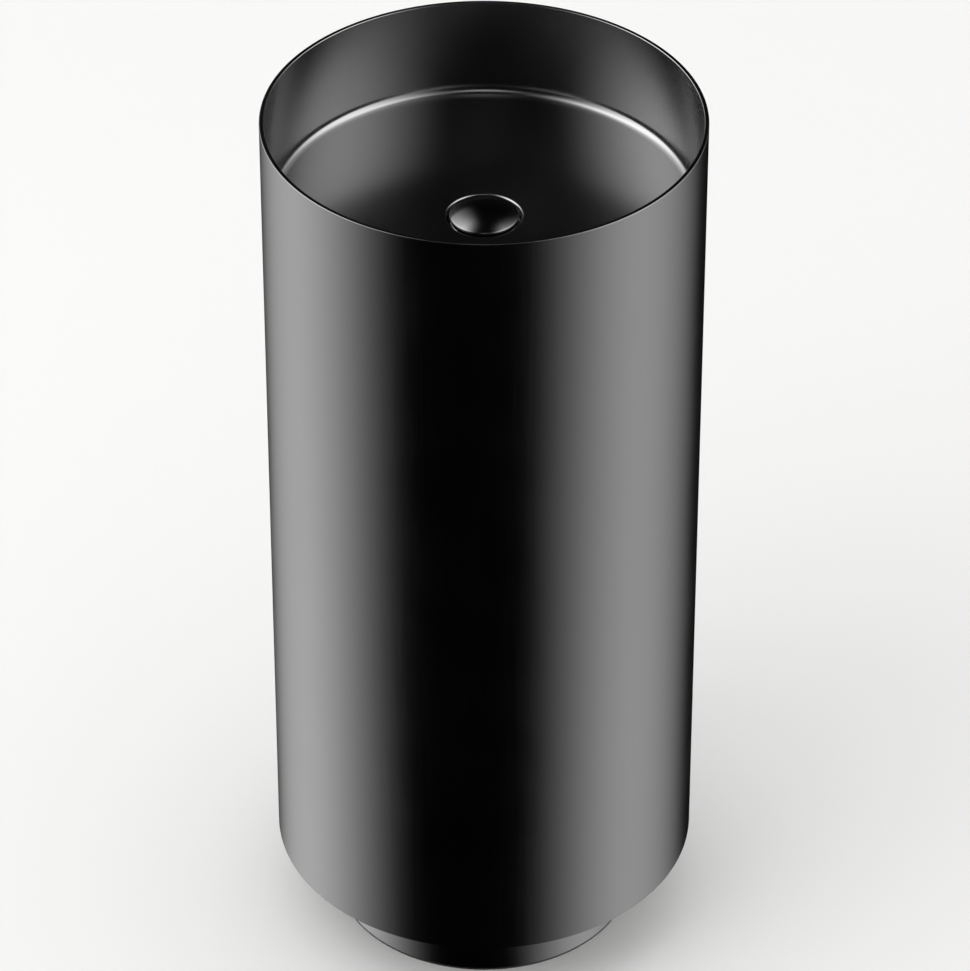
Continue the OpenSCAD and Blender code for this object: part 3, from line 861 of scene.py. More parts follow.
@dataclass
class RoundAxis(NodeShape):
    """Repeats a shape at even steps round the upright axis."""

    name: str = "Repeat round the axis"

    def declare(self) -> None:
        """Adds the count, the first angle and the step."""
        self.add_socket("Count", "NodeSocketInt")
        self.add_socket("First Angle", "NodeSocketFloat")
        self.add_socket("Step", "NodeSocketFloat")

    def shape(self, given: bpy.types.NodeOutputs) -> bpy.types.NodeSocket:
        """Puts a copy on each of a row of points at the origin, turned by its own angle.

        Args:
            given: Outputs of the tree's input node.

        Returns:
            The copies.
        """
        tree = self.tree
        points = add_node(tree, "GeometryNodePoints", {"Count": given["Count"]})
        index = add_node(tree, "GeometryNodeInputIndex")
        turn = add_node(
            tree,
            "ShaderNodeMath",
            {0: index.outputs["Index"], 1: given["Step"], 2: given["First Angle"]},
            operation="MULTIPLY_ADD",
        )
        rotation = add_node(tree, "ShaderNodeCombineXYZ", {"Z": turn.outputs[0]})
        copies = add_node(
            tree,
            "GeometryNodeInstanceOnPoints",
            {
                "Points": points.outputs[0],
                "Instance": given["Geometry"],
                "Rotation": rotation.outputs[0],
            },
        )
        return copies.outputs["Instances"]


@dataclass
class RolledSheet(NodeShape):
    """Rolls a flat sheet into a tube round the upright axis and welds its seam.

    The sheet lies with its length along X, its thickness along Y and its height along Z. The middle of its
    length ends up at the back.
    """

    name: str = "Roll a sheet into a tube"

    def declare(self) -> None:
        """Adds the radius of the sheet's outer face and the reach of the weld."""
        self.add_socket("Radius", "NodeSocketFloat")
        self.add_socket("Weld", "NodeSocketFloat")

    def shape(self, given: bpy.types.NodeOutputs) -> bpy.types.NodeSocket:
        """Turns length into angle and thickness into radius.

        Args:
            given: Outputs of the tree's input node.

        Returns:
            The tube.
        """
        tree = self.tree
        flat = add_node(tree, "GeometryNodeInputPosition")
        part = add_node(tree, "ShaderNodeSeparateXYZ", {"Vector": flat.outputs[0]})
        maths = "ShaderNodeMath"
        length, depth, height = (part.outputs[axis] for axis in "XYZ")
        turn = add_node(tree, maths, {0: length, 1: given["Radius"]}, operation="DIVIDE").outputs[0]
        reach = add_node(tree, maths, {0: depth, 1: given["Radius"]}, operation="ADD").outputs[0]
        sine = add_node(tree, maths, {0: turn}, operation="SINE").outputs[0]
        cosine = add_node(tree, maths, {0: turn}, operation="COSINE").outputs[0]
        side = add_node(tree, maths, {0: sine, 1: reach}, operation="MULTIPLY").outputs[0]
        back = add_node(tree, maths, {0: cosine, 1: reach}, operation="MULTIPLY").outputs[0]
        rolled = add_node(tree, "ShaderNodeCombineXYZ", {"X": side, "Y": back, "Z": height})
        placed = add_node(
            tree, "GeometryNodeSetPosition", {"Geometry": given["Geometry"], "Position": rolled.outputs[0]}
        )
        welded = add_node(
            tree,
            "GeometryNodeMergeByDistance",
            {"Geometry": placed.outputs["Geometry"], "Distance": given["Weld"]},
        )
        return welded.outputs["Geometry"]


# ---------------------------------------------------------------- sub-assemblies


@dataclass
class SubAssembly:
    """Pieces that belong together: makes them, gives them their finish and has them ride on a body."""

    def build(self) -> None:
        """Makes and dresses every piece."""
        raise NotImplementedError

    def dress(self, finish: Finish, *nodes: str) -> None:
        """Gives a finish to frame nodes whose shape is already right.

        Args:
            finish: The finish.
            nodes: The nodes' names.
        """
        for name in nodes:
            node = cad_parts[name]
            for place in node.material_slots:
                place.material = finish.material()
            log.info("%s: node %s in %s", type(self).__name__, name, finish.name)

    def install(
        self, piece: bpy.types.Object, finish: Finish, slot: Slot, replaced: str, body: Body = Body.PEDESTAL
    ) -> bpy.types.Object:
        """Gives a piece its finish and its body, and hides the frame node that it stands for.

        Args:
            piece: The piece, in place.
            finish: Its finish.
            slot: The record's slot for that finish; not used.
            replaced: The frame node that it stands for.
            body: The body that it rides on.

        Returns:
            The same piece.
        """
        piece.data.materials.clear()
        piece.data.materials.append(finish.material())
        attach(piece, body.value)
        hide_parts(replaced)
        log.info("%s: piece %s, %d faces", type(self).__name__, piece.name, len(piece.data.polygons))
        return piece


@dataclass
class OuterShell(SubAssembly):
    """The rolled cylinder with its dressed rim and the hatch opening at the back, and its closed foot.

    Attributes:
        roll: The tree that rolls the sheet.
        rim_round: Radius of the dressed outer edge at the rim.
        edge_break: How far the other cut edges are broken.
        opening_half_w: Half the width of the hatch opening.
        opening_drop: Distance from the rim to the opening's upper edge.
        opening_h: Height of the opening.
        opening_corner: Corner radius of the opening.
        columns: Number of steps round the cylinder.
        patch_columns: Number of steps across the patch that holds the opening.
        corner_steps: Number of steps along half a corner of the opening.
    """

    roll: RolledSheet
    rim_round: float = 0.7
    edge_break: float = 0.25
    opening_half_w: float = 120.0
    opening_drop: float = 170.0
    opening_h: float = 330.0
    opening_corner: float = 16.0
    columns: int = 288
    patch_columns: int = 66
    corner_steps: int = 7

    FOOT_ROWS: ClassVar[int] = 12
    PATCH_ROWS: ClassVar[int] = 44
    HEAD_ROWS: ClassVar[int] = 8
    PATCH_MARGIN: ClassVar[float] = 24.0
    RINGS: ClassVar[int] = 3

    def build(self) -> None:
        """Makes the shell and dresses the foot plate."""
        self.install(self.shell(), BRUSHED_WALL, Slot.DARK_STEEL, "outer_shell")
        self.dress(BRUSHED_WALL, "base_plate")

    def opening(self, inset: float, depth: float, radius: float) -> list[Place]:
        """Gives the opening's outline on the flat sheet, counter-clockwise from its lower left corner.

        Args:
            inset: How far the outline is grown into the sheet.
            depth: Depth below the sheet's outer face.
            radius: Radius of the outer face.

        Returns:
            As many places as the patch's border has.
        """
        corner = self.opening_corner
        half_w = self.opening_half_w - corner
        top = box_mm("outer_shell")[1].z - self.opening_drop - corner
        bottom = top - self.opening_h + 2 * corner
        c = self.corner_steps
        centres = ((-half_w, bottom), (half_w, bottom), (half_w, top), (-half_w, top))
        turns = [
            arc(centre, corner + inset, angle, angle + 90, 2 * c)
            for centre, angle in zip(centres, (180, 270, 0, 90))
        ]
        sides = (self.patch_columns, self.PATCH_ROWS) * 2
        outline: list[Point] = []
        for turn, following, steps in zip(turns, turns[1:] + turns[:1], sides):
            straight = steps - 2 * c
            outline += turn
            outline += [toward(turn[-1], following[0], i / straight) for i in range(1, straight)]
        outline = outline[c:] + outline[:c]
        return [(radius * math.asin(x / (radius - depth)), -depth, z) for x, z in outline]

    def section(self, sheet: float) -> tuple[list[Point], list[int], list[int]]:
        """Gives the sheet's cross-section, up its outer face and down its inner one.

        Args:
            sheet: Thickness of the sheet.

        Returns:
            The section as depth and height, then the numbers of the rows that border on the patch with the
            opening, from the bottom up, on the outer face and on the inner one.
        """
        low, high = box_mm("outer_shell")
        patch_high = high.z - self.opening_drop + self.PATCH_MARGIN
        patch_low = patch_high - self.opening_h - 2 * self.PATCH_MARGIN
        rim_z = high.z - self.rim_round
        edge = self.edge_break
        wall = evenly(low.z + edge, patch_low, self.FOOT_ROWS)
        wall += evenly(patch_low, patch_high, self.PATCH_ROWS)
        wall += evenly(patch_high, rim_z - 0.3, self.HEAD_ROWS) + [rim_z - 0.3]
        section = [(-edge, low.z)] + [(0.0, z) for z in wall]
        section += arc((-self.rim_round, rim_z), self.rim_round, 0, 90, 6)
        section += [(-sheet, high.z)] + [(-sheet, z) for z in reversed(wall)] + [(-sheet + edge, low.z)]
        outer = [1 + self.FOOT_ROWS + i for i in range(self.PATCH_ROWS + 1)]
        inner = [len(section) - 1 - i for i in outer]
        return section, outer, inner

    def shell(self) -> bpy.types.Object:
        """Makes the sheet flat, with its opening, and rolls it.

        Returns:
            The shell.
        """
        radius = box_mm("outer_shell")[1].x
        sheet = radius - box_mm("basin_liner")[1].x
        half = math.pi * radius
        across = [-half + 2 * half * i / self.columns for i in range(self.columns + 1)]
        section, outer, inner = self.section(sheet)
        first = (self.columns - self.patch_columns) // 2
        last = first + self.patch_columns
        skin = Skin()
        grid = [skin.row([(x, depth, z) for x in across]) for depth, z in section]
        for i, row in enumerate(grid):
            k = (i + 1) % len(grid)
            above = grid[k]
            if (i in outer and k in outer) or (i in inner and k in inner):
                skin.join(row[: first + 1], above[: first + 1], closed=False)
                skin.join(row[last:], above[last:], closed=False)
            else:
                skin.join(row, above, closed=False)
        edge = self.edge_break
        loops = [self.patch(skin, [grid[i] for i in outer], first, last, self.opening(edge, 0.0, radius))]
        loops += [skin.row(self.opening(0.0, depth, radius)) for depth in (edge, sheet - edge)]
        inner_loop = self.opening(edge, sheet, radius)
        loops += [self.patch(skin, [grid[i] for i in inner], first, last, inner_loop, inside=True)]
        for lower, upper in zip(loops, loops[1:]):
            skin.join(lower, upper)
        # Rolling mirrors the flat sheet, so its faces are turned over first.
        skin.faces = [face[::-1] for face in skin.faces]
        piece = self.roll.apply(skin.made("shell_skin"), BRUSHED_WALL, Radius=radius * MM, Weld=0.002 * MM)
        piece.data.set_sharp_from_angle(angle=math.radians(35))
        return piece

    def patch(
        self,
        skin: Skin,
        rows: list[list[int]],
        first: int,
        last: int,
        loop: list[Place],
        inside: bool = False,
    ) -> list[int]:
        """Fills the space between the grid and the opening by rings.

        Args:
            skin: The skin that gets the rings.
            rows: The grid's rows that border on the patch, from the bottom up.
            first: The patch's first column.
            last: Its last column.
            loop: The opening's outline.
            inside: Whether this is the sheet's inner face.

        Returns:
            Vertex numbers of the outline.
        """
        border = rows[0][first:last] + [row[last] for row in rows[:-1]]
        border += rows[-1][last:first:-1] + [row[first] for row in rows[:0:-1]]
        starts = [skin.places[vertex] for vertex in border]
        rings = [border]
        for ring in range(1, self.RINGS + 1):
            share = ring / self.RINGS
            rings.append(skin.row([toward(start, end, share) for start, end in zip(starts, loop)]))
        for outside, inward in zip(rings, rings[1:]):
            if inside:
                skin.join(inward, outside)
            else:
                skin.join(outside, inward)
        return rings[-1]


@dataclass
class Basin(SubAssembly):
    """The spun bowl with its sunk drain, and the pad under it.

    Attributes:
        sheet: Thickness of the bowl's sheet.
        rim_round: Radius of the dressed inner edge.
        lean: How far the wall leans in between rim and floor.
        fall: Fall of the floor from the wall to the drain's lip.
        depth: Depth of the drain's lip below the rim.
        floor_round: Radius between floor and wall.
        lip_round: Radius on the drain's lip.
        pocket_gap: Width of the gap between the plug and the pocket's wall.
        pocket_corner: Radius at the bottom of the pocket.
        hole_r: Radius of the hole for the waste.
        plug_r: Radius of the plug.
        segments: Number of steps round the bowl.
    """

    sheet: float = 2.0
    rim_round: float = 0.7
    lean: float = 2.0
    fall: float = 9.3
    depth: float = 103.3
    floor_round: float = 9.0
    lip_round: float = 2.6
    pocket_gap: float = 1.8
    pocket_corner: float = 1.5
    hole_r: float = 22.5
    plug_r: float = 31.7
    segments: int = 288

    def build(self) -> None:
        """Makes the bowl and dresses the pad."""
        self.install(self.bowl(), SPUN_BOWL, Slot.DARK_STEEL, "basin_liner")
        self.dress(SOUND_PAD, "damping_pad")

    def bowl(self) -> bpy.types.Object:
        """Makes the bowl from the profile of its sheet.

        Returns:
            The bowl.
        """
        low, high = box_mm("basin_liner")
        outer_r, top = high.x, high.z
        lean = math.atan(self.lean / (self.depth - self.fall))
        rim_r = outer_r - self.sheet / math.cos(lean)
        pocket_r = self.plug_r + self.pocket_gap
        lip_z = top - self.depth
        pocket_z = low.z + self.sheet
        fall = math.atan(self.fall / (rim_r - self.lean - pocket_r))
        wall_shift = rim_r - self.floor_round / math.cos(lean)
        floor_shift = lip_z + self.floor_round / math.cos(fall)
        slopes = math.tan(fall) * math.tan(lean)
        bowl_r = (wall_shift - (top - floor_shift) * math.tan(lean) - pocket_r * slopes) / (1 - slopes)
        bowl_z = floor_shift + (bowl_r - pocket_r) * math.tan(fall)
        lip_r = pocket_r + self.lip_round
        lip_c = lip_z + self.lip_round * math.tan(fall) - self.lip_round / math.cos(fall)
        edge_r = rim_r + self.rim_round * (1 / math.cos(lean) - math.tan(lean))
        lean_deg, fall_deg = math.degrees(lean), math.degrees(fall)

        def face(depth: float) -> list[Point]:
            """Gives one face of the sheet, from the wall to the waste hole.

            Args:
                depth: Depth of the face below the sheet's inner face.

            Returns:
                Its corners.
            """
            wall = arc((bowl_r, bowl_z), self.floor_round + depth, -lean_deg, fall_deg - 90, 20)
            lip = arc((lip_r, lip_c), self.lip_round - depth, 90 + fall_deg, 180, 10)
            foot = (pocket_r - self.pocket_corner, pocket_z + self.pocket_corner)
            floor = self.between(wall[-1], lip[0], 14)
            corner = arc(foot, self.pocket_corner + depth, 0, -90, 6)
            return wall + floor + lip + corner + [(self.hole_r, pocket_z - depth)]

        edge = arc((edge_r, top - self.rim_round), self.rim_round, 90, 180 - lean_deg, 6)
        inner = face(0.0)
        wall = self.between(edge[-1], inner[0], 8)
        under = face(self.sheet)
        profile = [(outer_r, top)] + edge + wall + inner + under[::-1]
        return turned("bowl_skin", profile, self.segments)

    @staticmethod
    def between(start: Point, end: Point, steps: int) -> list[Point]:
        """Gives points on a straight line, close to its ends and evenly between them, without the ends."""
        shares = [0.004] + [i / steps for i in range(1, steps)] + [0.996]
        return [toward(start, end, share) for share in shares]


@dataclass
class Plinth(SubAssembly):
    """The recessed plinth with its gasket, the bolts that carry it and the screws that lock it down.

    Attributes:
        ring: The tree that repeats a shape round the axis.
        bolts: Number of bolts.
        bolt_r: Radius of a bolt over its thread.
        pitch: Distance between thread crests.
        corner_r: Radius of a bolt's head and of a nut, over the corners.
        head_h: Height of a bolt's head.
        washer_t: Thickness of a washer.
        nut_h: Height of a nut.
        lock_angles: Angle of the first lock screw and the step to the next, in degrees.
        lock_head_r: Radius of a lock screw's head.
        lock_head_h: Height of that head.
        lock_key_r: Radius of its hexagon socket, over the corners.
        lock_r: Radius of a lock screw over its thread.
        lock_tip_r: Radius of its tip.
        lock_length: Its length below the head.
        lock_pitch: Distance between its thread crests.
        lock_edge: Height of its head's straight edge, and of the plain ends of its shank.
    """

    ring: RoundAxis
    bolts: int = 6
    bolt_r: float = 3.0
    pitch: float = 1.0
    corner_r: float = 5.8
    head_h: float = 4.0
    washer_t: float = 1.2
    nut_h: float = 5.0
    lock_angles: Point = (30.0, 60.0)
    lock_head_r: float = 4.7
    lock_head_h: float = 2.6
    lock_key_r: float = 1.6
    lock_r: float = 2.5
    lock_tip_r: float = 1.7
    lock_length: float = 12.0
    lock_pitch: float = 0.8
    lock_edge: float = 0.5

    def build(self) -> None:
        """Makes bolts, washers, nuts and screws, and dresses the plinth and its gasket."""
        self.dress(BRUSHED_WALL, "plinth_ring")
        self.dress(WASHER_RUBBER, "floor_gasket")
        self.install(self.bolt_set(), PLATED_STEEL, Slot.ZINC_STEEL, "plinth_bolts")
        self.install(self.washer_set(), PLATED_STEEL, Slot.ZINC_STEEL, "plinth_washers")
        self.install(self.nut_set(), PLATED_STEEL, Slot.ZINC_STEEL, "plinth_nuts")
        self.install(self.lock_set(), PLATED_STEEL, Slot.ZINC_STEEL, "plinth_screws")

    def circle_r(self) -> float:
        """Gives the radius of the circle that the bolts stand on."""
        return box_mm("plinth_bolts")[1].x - self.corner_r

    def repeat(self, shape: bpy.types.Object, count: int, first: float, step: float) -> bpy.types.Object:
        """Repeats a shape round the axis.

        Args:
            shape: The shape at angle zero.
            count: How many there are.
            first: Angle of the first, in degrees.
            step: Angle between neighbours, in degrees.

        Returns:
            The shape, repeated.
        """
        return self.ring.apply(
            shape, PLATED_STEEL, Count=count, First_Angle=math.radians(first), Step=math.radians(step)
        )

    def joined(self, name: str, parts: Sequence[bpy.types.Object], shift: Vector) -> bpy.types.Object:
        """Joins shapes into one mesh and shifts it.

        Args:
            name: Name of the joined piece.
            parts: The shapes.
            shift: The shift, in millimetres.

        Returns:
            The joined piece.
        """
        with bpy.context.temp_override(active_object=parts[0], selected_editable_objects=list(parts)):
            bpy.ops.object.join()
        parts[0].name = name
        return moved(parts[0], Matrix.Translation(shift * MM))

    def bolt_set(self) -> bpy.types.Object:
        """Makes the bolts, with their heads on the foot plate and their threads down.

        Returns:
            The bolts.
        """
        low, high = box_mm("plinth_bolts")
        head_z = high.z - self.head_h
        head = hex_nut("bolt_head", self.corner_r, head_z, self.head_h)
        shank_end = low.z + 0.5
        profile = [(0.0, low.z), (self.bolt_r - 0.8, low.z), (self.bolt_r - 0.4, shank_end)]
        profile += thread(self.bolt_r, shank_end, head_z - 2, self.pitch)
        profile += [(self.bolt_r, head_z - 1.8), (self.bolt_r, head_z), (0.0, head_z)]
        shank = turned("bolt_shank", profile, 24)
        bolt = self.joined("bolts", [head, shank], Vector((self.circle_r(), 0, 0)))
        return self.repeat(bolt, self.bolts, 0, 360 / self.bolts)

    def washer_set(self) -> bpy.types.Object:
        """Makes the washers above and below the flanges.

        Returns:
            The washers.
        """
        low, high = box_mm("plinth_washers")
        outer_r = high.x - self.circle_r()
        inner_r = self.bolt_r + 0.3
        edge = 0.2
        pair = []
        for z in (low.z, high.z - self.washer_t):
            top = z + self.washer_t
            profile = [(inner_r, z), (outer_r - edge, z), (outer_r, z + edge), (outer_r, top - edge)]
            profile += [(outer_r - edge, top), (inner_r, top)]
            pair.append(turned("washer", profile, 36))
        washers = self.joined("washers", pair, Vector((self.circle_r(), 0, 0)))
        return self.repeat(washers, self.bolts, 0, 360 / self.bolts)

    def nut_set(self) -> bpy.types.Object:
        """Makes the nuts under the plinth's flange.

        Returns:
            The nuts.
        """
        low, high = box_mm("plinth_nuts")
        bore = [(self.bolt_r + 0.4, high.z), (self.bolt_r + 0.05, high.z - 0.4)]
        bore += [(self.bolt_r + 0.05, low.z + 0.4), (self.bolt_r + 0.4, low.z)]
        nut = hex_nut("nuts", self.corner_r, low.z, self.nut_h, bore)
        moved(nut, Matrix.Translation(Vector((self.circle_r(), 0, 0)) * MM))
        return self.repeat(nut, self.bolts, 0, 360 / self.bolts)

    def lock_set(self) -> bpy.types.Object:
        """Makes the button-headed screws that lock the plinth to the floor ring.

        Returns:
            The screws.
        """
        low, high = box_mm("plinth_screws")
        plinth_r = box_mm("plinth_ring")[1].x
        height = (low.z + high.z) / 2
        key_depth = self.lock_head_h / 2
        steps = 24
        turns = [2 * math.pi * i / steps for i in range(steps)]
        radius, end, edge = self.lock_r, -self.lock_length, self.lock_edge
        dome = arc((0.0, 0.0), 1.0, 0, 55, 6)
        profile = [(0.0, end), (self.lock_tip_r, end)] + thread(radius, end + edge, -edge, self.lock_pitch)
        profile += [(radius, 0.0), (self.lock_head_r, 0.0), (self.lock_head_r, edge)]
        profile += [
            (self.lock_head_r * c, edge + (self.lock_head_h - edge) * s / dome[-1][1]) for c, s in dome[1:]
        ]
        loops = rings(profile, steps)
        key = [(hexagon_radius(self.lock_key_r, t), t) for t in turns]
        for z in (self.lock_head_h, key_depth):
            loops.append([(r * math.cos(t), r * math.sin(t), z) for r, t in key])
        loops.append([(0.0, 0.0, key_depth)])
        screw = lofted("lock_screws", loops, closed=False)
        outward = Matrix.Rotation(math.radians(90), 4, "Y")
        moved(screw, Matrix.Translation(Vector((plinth_r, 0, height)) * MM) @ outward)
        return self.repeat(screw, 3, self.lock_angles[0], self.lock_angles[1])


@dataclass
class FloorRing(SubAssembly):
    """The ring that is anchored to the floor inside the plinth."""

    def build(self) -> None:
        """Dresses the ring."""
        self.dress(BARE_STEEL, "floor_ring")


@dataclass
class Hatch(SubAssembly):
    """The service hatch at the back: panel, frame, foam, rivet nuts and slotted screws."""

    def build(self) -> None:
        """Dresses the hatch's pieces."""
        self.dress(BRUSHED_WALL, "hatch_panel", "hatch_frame")
        self.dress(HATCH_FOAM, "hatch_gasket")
        self.dress(PLATED_STEEL, "hatch_nuts")
        self.dress(BARE_STEEL, "hatch_screws")


@dataclass
class Waste(SubAssembly):
    """The waste through the bowl's floor, with its washers, its backnut and the click cartridge.

    Attributes:
        thread_r: Radius of the waste over its thread.
        nut_wall: Distance from the thread to a nut's corner.
    """

    thread_r: float = 20.95
    nut_wall: float = 8.0

    def build(self) -> None:
        """Makes the backnut and dresses the rest."""
        self.dress(BUFFED_PLUG, "waste_body")
        self.dress(WASHER_RUBBER, "waste_seal", "waste_lower_washer")
        self.dress(WHITE_FITTING, "waste_slip_washer", "latch_rotor")
        self.dress(TURNED_BRASS, "click_cartridge", "cartridge_gland")
        self.dress(BARE_STEEL, "return_spring", "plug_spindle")
        self.install(self.backnut(), TURNED_BRASS, Slot.BRASS, "waste_backnut")

    def backnut(self) -> bpy.types.Object:
        """Makes the chamfered backnut under the bowl.

        Returns:
            The backnut.
        """
        low, high = box_mm("waste_backnut")
        bore_r = self.thread_r + 0.05
        bore = [(bore_r + 0.8, high.z), (bore_r, high.z - 0.8), (bore_r, low.z + 0.8), (bore_r + 0.8, low.z)]
        return hex_nut("backnut", self.thread_r + self.nut_wall, low.z, high.z - low.z, bore)


@dataclass
class Plug(SubAssembly):
    """The domed plug that clicks open and shut, with the seal under it.

    Attributes:
        edge_r: Radius of its rounded edge.
        rise: Height of the dome above the middle of the edge.
        recess: Depth of the recess that holds the seal.
        recess_margin: Width of the rim round the recess.
        boss_r: Radius of the boss that the spindle screws into.
        boss_drop: How far the boss hangs below the cap; not used.
        hole_r: Radius of the boss's hole.
        boss_top_wall: Metal left between the boss's hole and the recess's floor.
        segments: Number of steps round the plug.
    """

    edge_r: float = 1.6
    rise: float = 8.5
    recess: float = 3.0
    recess_margin: float = 3.0
    boss_r: float = 6.5
    boss_drop: float = 6.0
    hole_r: float = 3.3
    boss_top_wall: float = 1.5
    segments: int = 144

    def build(self) -> None:
        """Makes the cap and dresses the seal."""
        self.install(self.cap(), BUFFED_PLUG, Slot.DARK_POLISH, "plug_cap", Body.PLUG)
        self.dress(WASHER_RUBBER, "plug_seal")

    def cap(self) -> bpy.types.Object:
        """Makes the cap, a shallow dome that runs without a step into its rounded edge.

        Returns:
            The cap.
        """
        low, high = box_mm("plug_cap")
        plug_r = high.x
        edge_c = plug_r - self.edge_r
        edge_z = high.z - self.rise
        under_z = edge_z - self.edge_r
        step = self.rise - self.edge_r
        drop = (edge_c**2 - step**2) / (2 * step)
        dome_r = self.rise + drop
        meet = math.degrees(math.atan2(drop, edge_c))
        recess_r = edge_c - self.recess_margin
        boss_z = low.z
        hole_z = under_z + self.recess - self.boss_top_wall
        recess_z = under_z + self.recess
        edge = arc((edge_c, edge_z), self.edge_r, -90, meet, 12)
        dome = arc((0.0, edge_z - drop), dome_r, meet, 90, 24)
        profile = [(0.0, hole_z), (self.hole_r, hole_z)]
        profile += [(self.hole_r, boss_z + 0.4), (self.hole_r + 0.4, boss_z)]
        profile += [(self.boss_r - 0.4, boss_z), (self.boss_r, boss_z + 0.4), (self.boss_r, recess_z)]
        profile += [(recess_r, recess_z), (recess_r, under_z)]
        profile += edge + dome[1:-1] + [(0.0, dome[-1][1])]
        return turned("plug_skin", profile, self.segments)


@dataclass
class Trap(SubAssembly):
    """The bottle trap: tailpiece, body, the cup that unscrews for cleaning, and its nuts and washers.

    Attributes:
        ring: The tree that repeats a shape round the axis.
        ribs: Number of grip ribs on the cup.
        rib_r: Radius of a rib.
        rib_margin: Distance from a rib to the cup's ends.
        wall: Wall of the cup.
        floor: Thickness of the cup's floor.
        hex_r: Radius of the hexagon under the cup, over its corners.
        hex_h: Height of that hexagon.
        pipe_r: Radius of the pipes.
        neck_r: Radius of the trap's necks over their thread.
        waste_thread_r: Radius of the waste over its thread.
        nut_wall: Distance from a thread to a nut's corner.
        nut_lip: Thickness of a nut's lip.
        pipe_gap: Gap between a pipe and a nut's lip.
    """

    ring: RoundAxis
    ribs: int = 16
    rib_r: float = 1.5
    rib_margin: float = 8.0
    wall: float = 3.0
    floor: float = 4.0
    hex_r: float = 14.0
    hex_h: float = 8.0
    pipe_r: float = 16.0
    neck_r: float = 20.0
    waste_thread_r: float = 20.95
    nut_wall: float = 8.0
    nut_lip: float = 3.0
    pipe_gap: float = 0.3

    def build(self) -> None:
        """Makes the cup and the nuts, and dresses the rest."""
        self.dress(WHITE_FITTING, "tailpiece", "trap_body")
        self.dress(
            WASHER_RUBBER, "tailpiece_washer", "trap_inlet_washer", "trap_outlet_washer", "trap_cup_seal"
        )
        self.install(self.cup(), WHITE_FITTING, Slot.WHITE_PLASTIC, "trap_cup", Body.CUP)
        low, high = box_mm("tailpiece_nut")
        upside_down = Matrix.Translation((0, 0, (low.z + high.z) * MM)) @ Matrix.Rotation(math.pi, 4, "X")
        upper = self.union_nut("tailpiece_nut_skin", self.waste_thread_r, low.z, high.z - low.z)
        self.install(moved(upper, upside_down), GREY_FITTING, Slot.GREY_PLASTIC, "tailpiece_nut")
        low, high = box_mm("trap_inlet_nut")
        inlet = self.union_nut("inlet_nut_skin", self.neck_r, low.z, high.z - low.z)
        self.install(inlet, GREY_FITTING, Slot.GREY_PLASTIC, "trap_inlet_nut")
        low, high = box_mm("trap_outlet_nut")
        outlet = self.union_nut("outlet_nut_skin", self.neck_r, 0.0, high.y - low.y)
        forward = Matrix.Rotation(math.radians(90), 4, "X")
        place = Vector((0, high.y, (low.z + high.z) / 2)) * MM
        moved(outlet, Matrix.Translation(place) @ forward)
        self.install(outlet, GREY_FITTING, Slot.GREY_PLASTIC, "trap_outlet_nut")

    def union_nut(self, name: str, thread_r: float, bottom: float, height: float) -> bpy.types.Object:
        """Makes a union nut with its thread below and its lip on top.

        Args:
            name: The piece's name.
            thread_r: Radius of the thread that it screws onto.
            bottom: Height of its open end.
            height: Its height.

        Returns:
            The nut.
        """
        top = bottom + height
        lip_z = top - self.nut_lip
        lip_r = self.pipe_r + self.pipe_gap
        bore_r = thread_r + 0.05
        bore = [(lip_r + 0.5, top), (lip_r, top - 0.5), (lip_r, lip_z), (bore_r, lip_z)]
        bore += [(bore_r, bottom + 0.8), (bore_r + 0.8, bottom)]
        return hex_nut(name, thread_r + self.nut_wall, bottom, height, bore)

    def cup(self) -> bpy.types.Object:
        """Makes the cup, its grip ribs and the hexagon under it.

        Returns:
            The cup.
        """
        low, high = box_mm("trap_cup")
        outer_r = high.x - self.rib_r
        bottom = low.z + self.hex_h
        top = high.z
        inner_r = outer_r - self.wall
        edge = arc((outer_r - 2, bottom + 2), 2, -90, 0, 5)
        hollow = arc((inner_r - 3, bottom + self.floor + 3), 3, 0, -90, 6)
        profile = [(0.0, bottom)] + edge + [(outer_r, top - 0.5), (outer_r - 0.5, top)]
        profile += [(inner_r + 0.5, top), (inner_r, top - 0.5)] + hollow + [(0.0, bottom + self.floor)]
        cup = turned("cup_skin", profile, 96)
        rib_low, rib_high = bottom + self.rib_margin, top - self.rib_margin
        ends = arc((0.0, 0.0), self.rib_r, 0, 90, 4)
        rib_profile = [(0.0, rib_low)] + [(r, rib_low + self.rib_r - z) for r, z in reversed(ends)][1:]
        rib_profile += [(r, rib_high - self.rib_r + z) for r, z in ends][:-1] + [(0.0, rib_high)]
        rib = moved(turned("rib", rib_profile, 16), Matrix.Translation((outer_r * MM, 0, 0)))
        ribs = self.ring.apply(
            rib, WHITE_FITTING, Count=self.ribs, First_Angle=0.0, Step=2 * math.pi / self.ribs
        )
        key = hex_nut("cup_key", self.hex_r, low.z, self.hex_h + 1)
        with bpy.context.temp_override(active_object=cup, selected_editable_objects=[cup, ribs, key]):
            bpy.ops.object.join()
        return cup


@dataclass
class Outlet(SubAssembly):
    """The pipe from the trap down to the drain in the floor."""

    def build(self) -> None:
        """Dresses the outlet's pieces."""
        self.dress(WHITE_FITTING, "outlet_pipe")
        self.dress(WASHER_RUBBER, "outlet_seal")
        self.dress(GREY_FITTING, "floor_connector")


# ---------------------------------------------------------------- studio


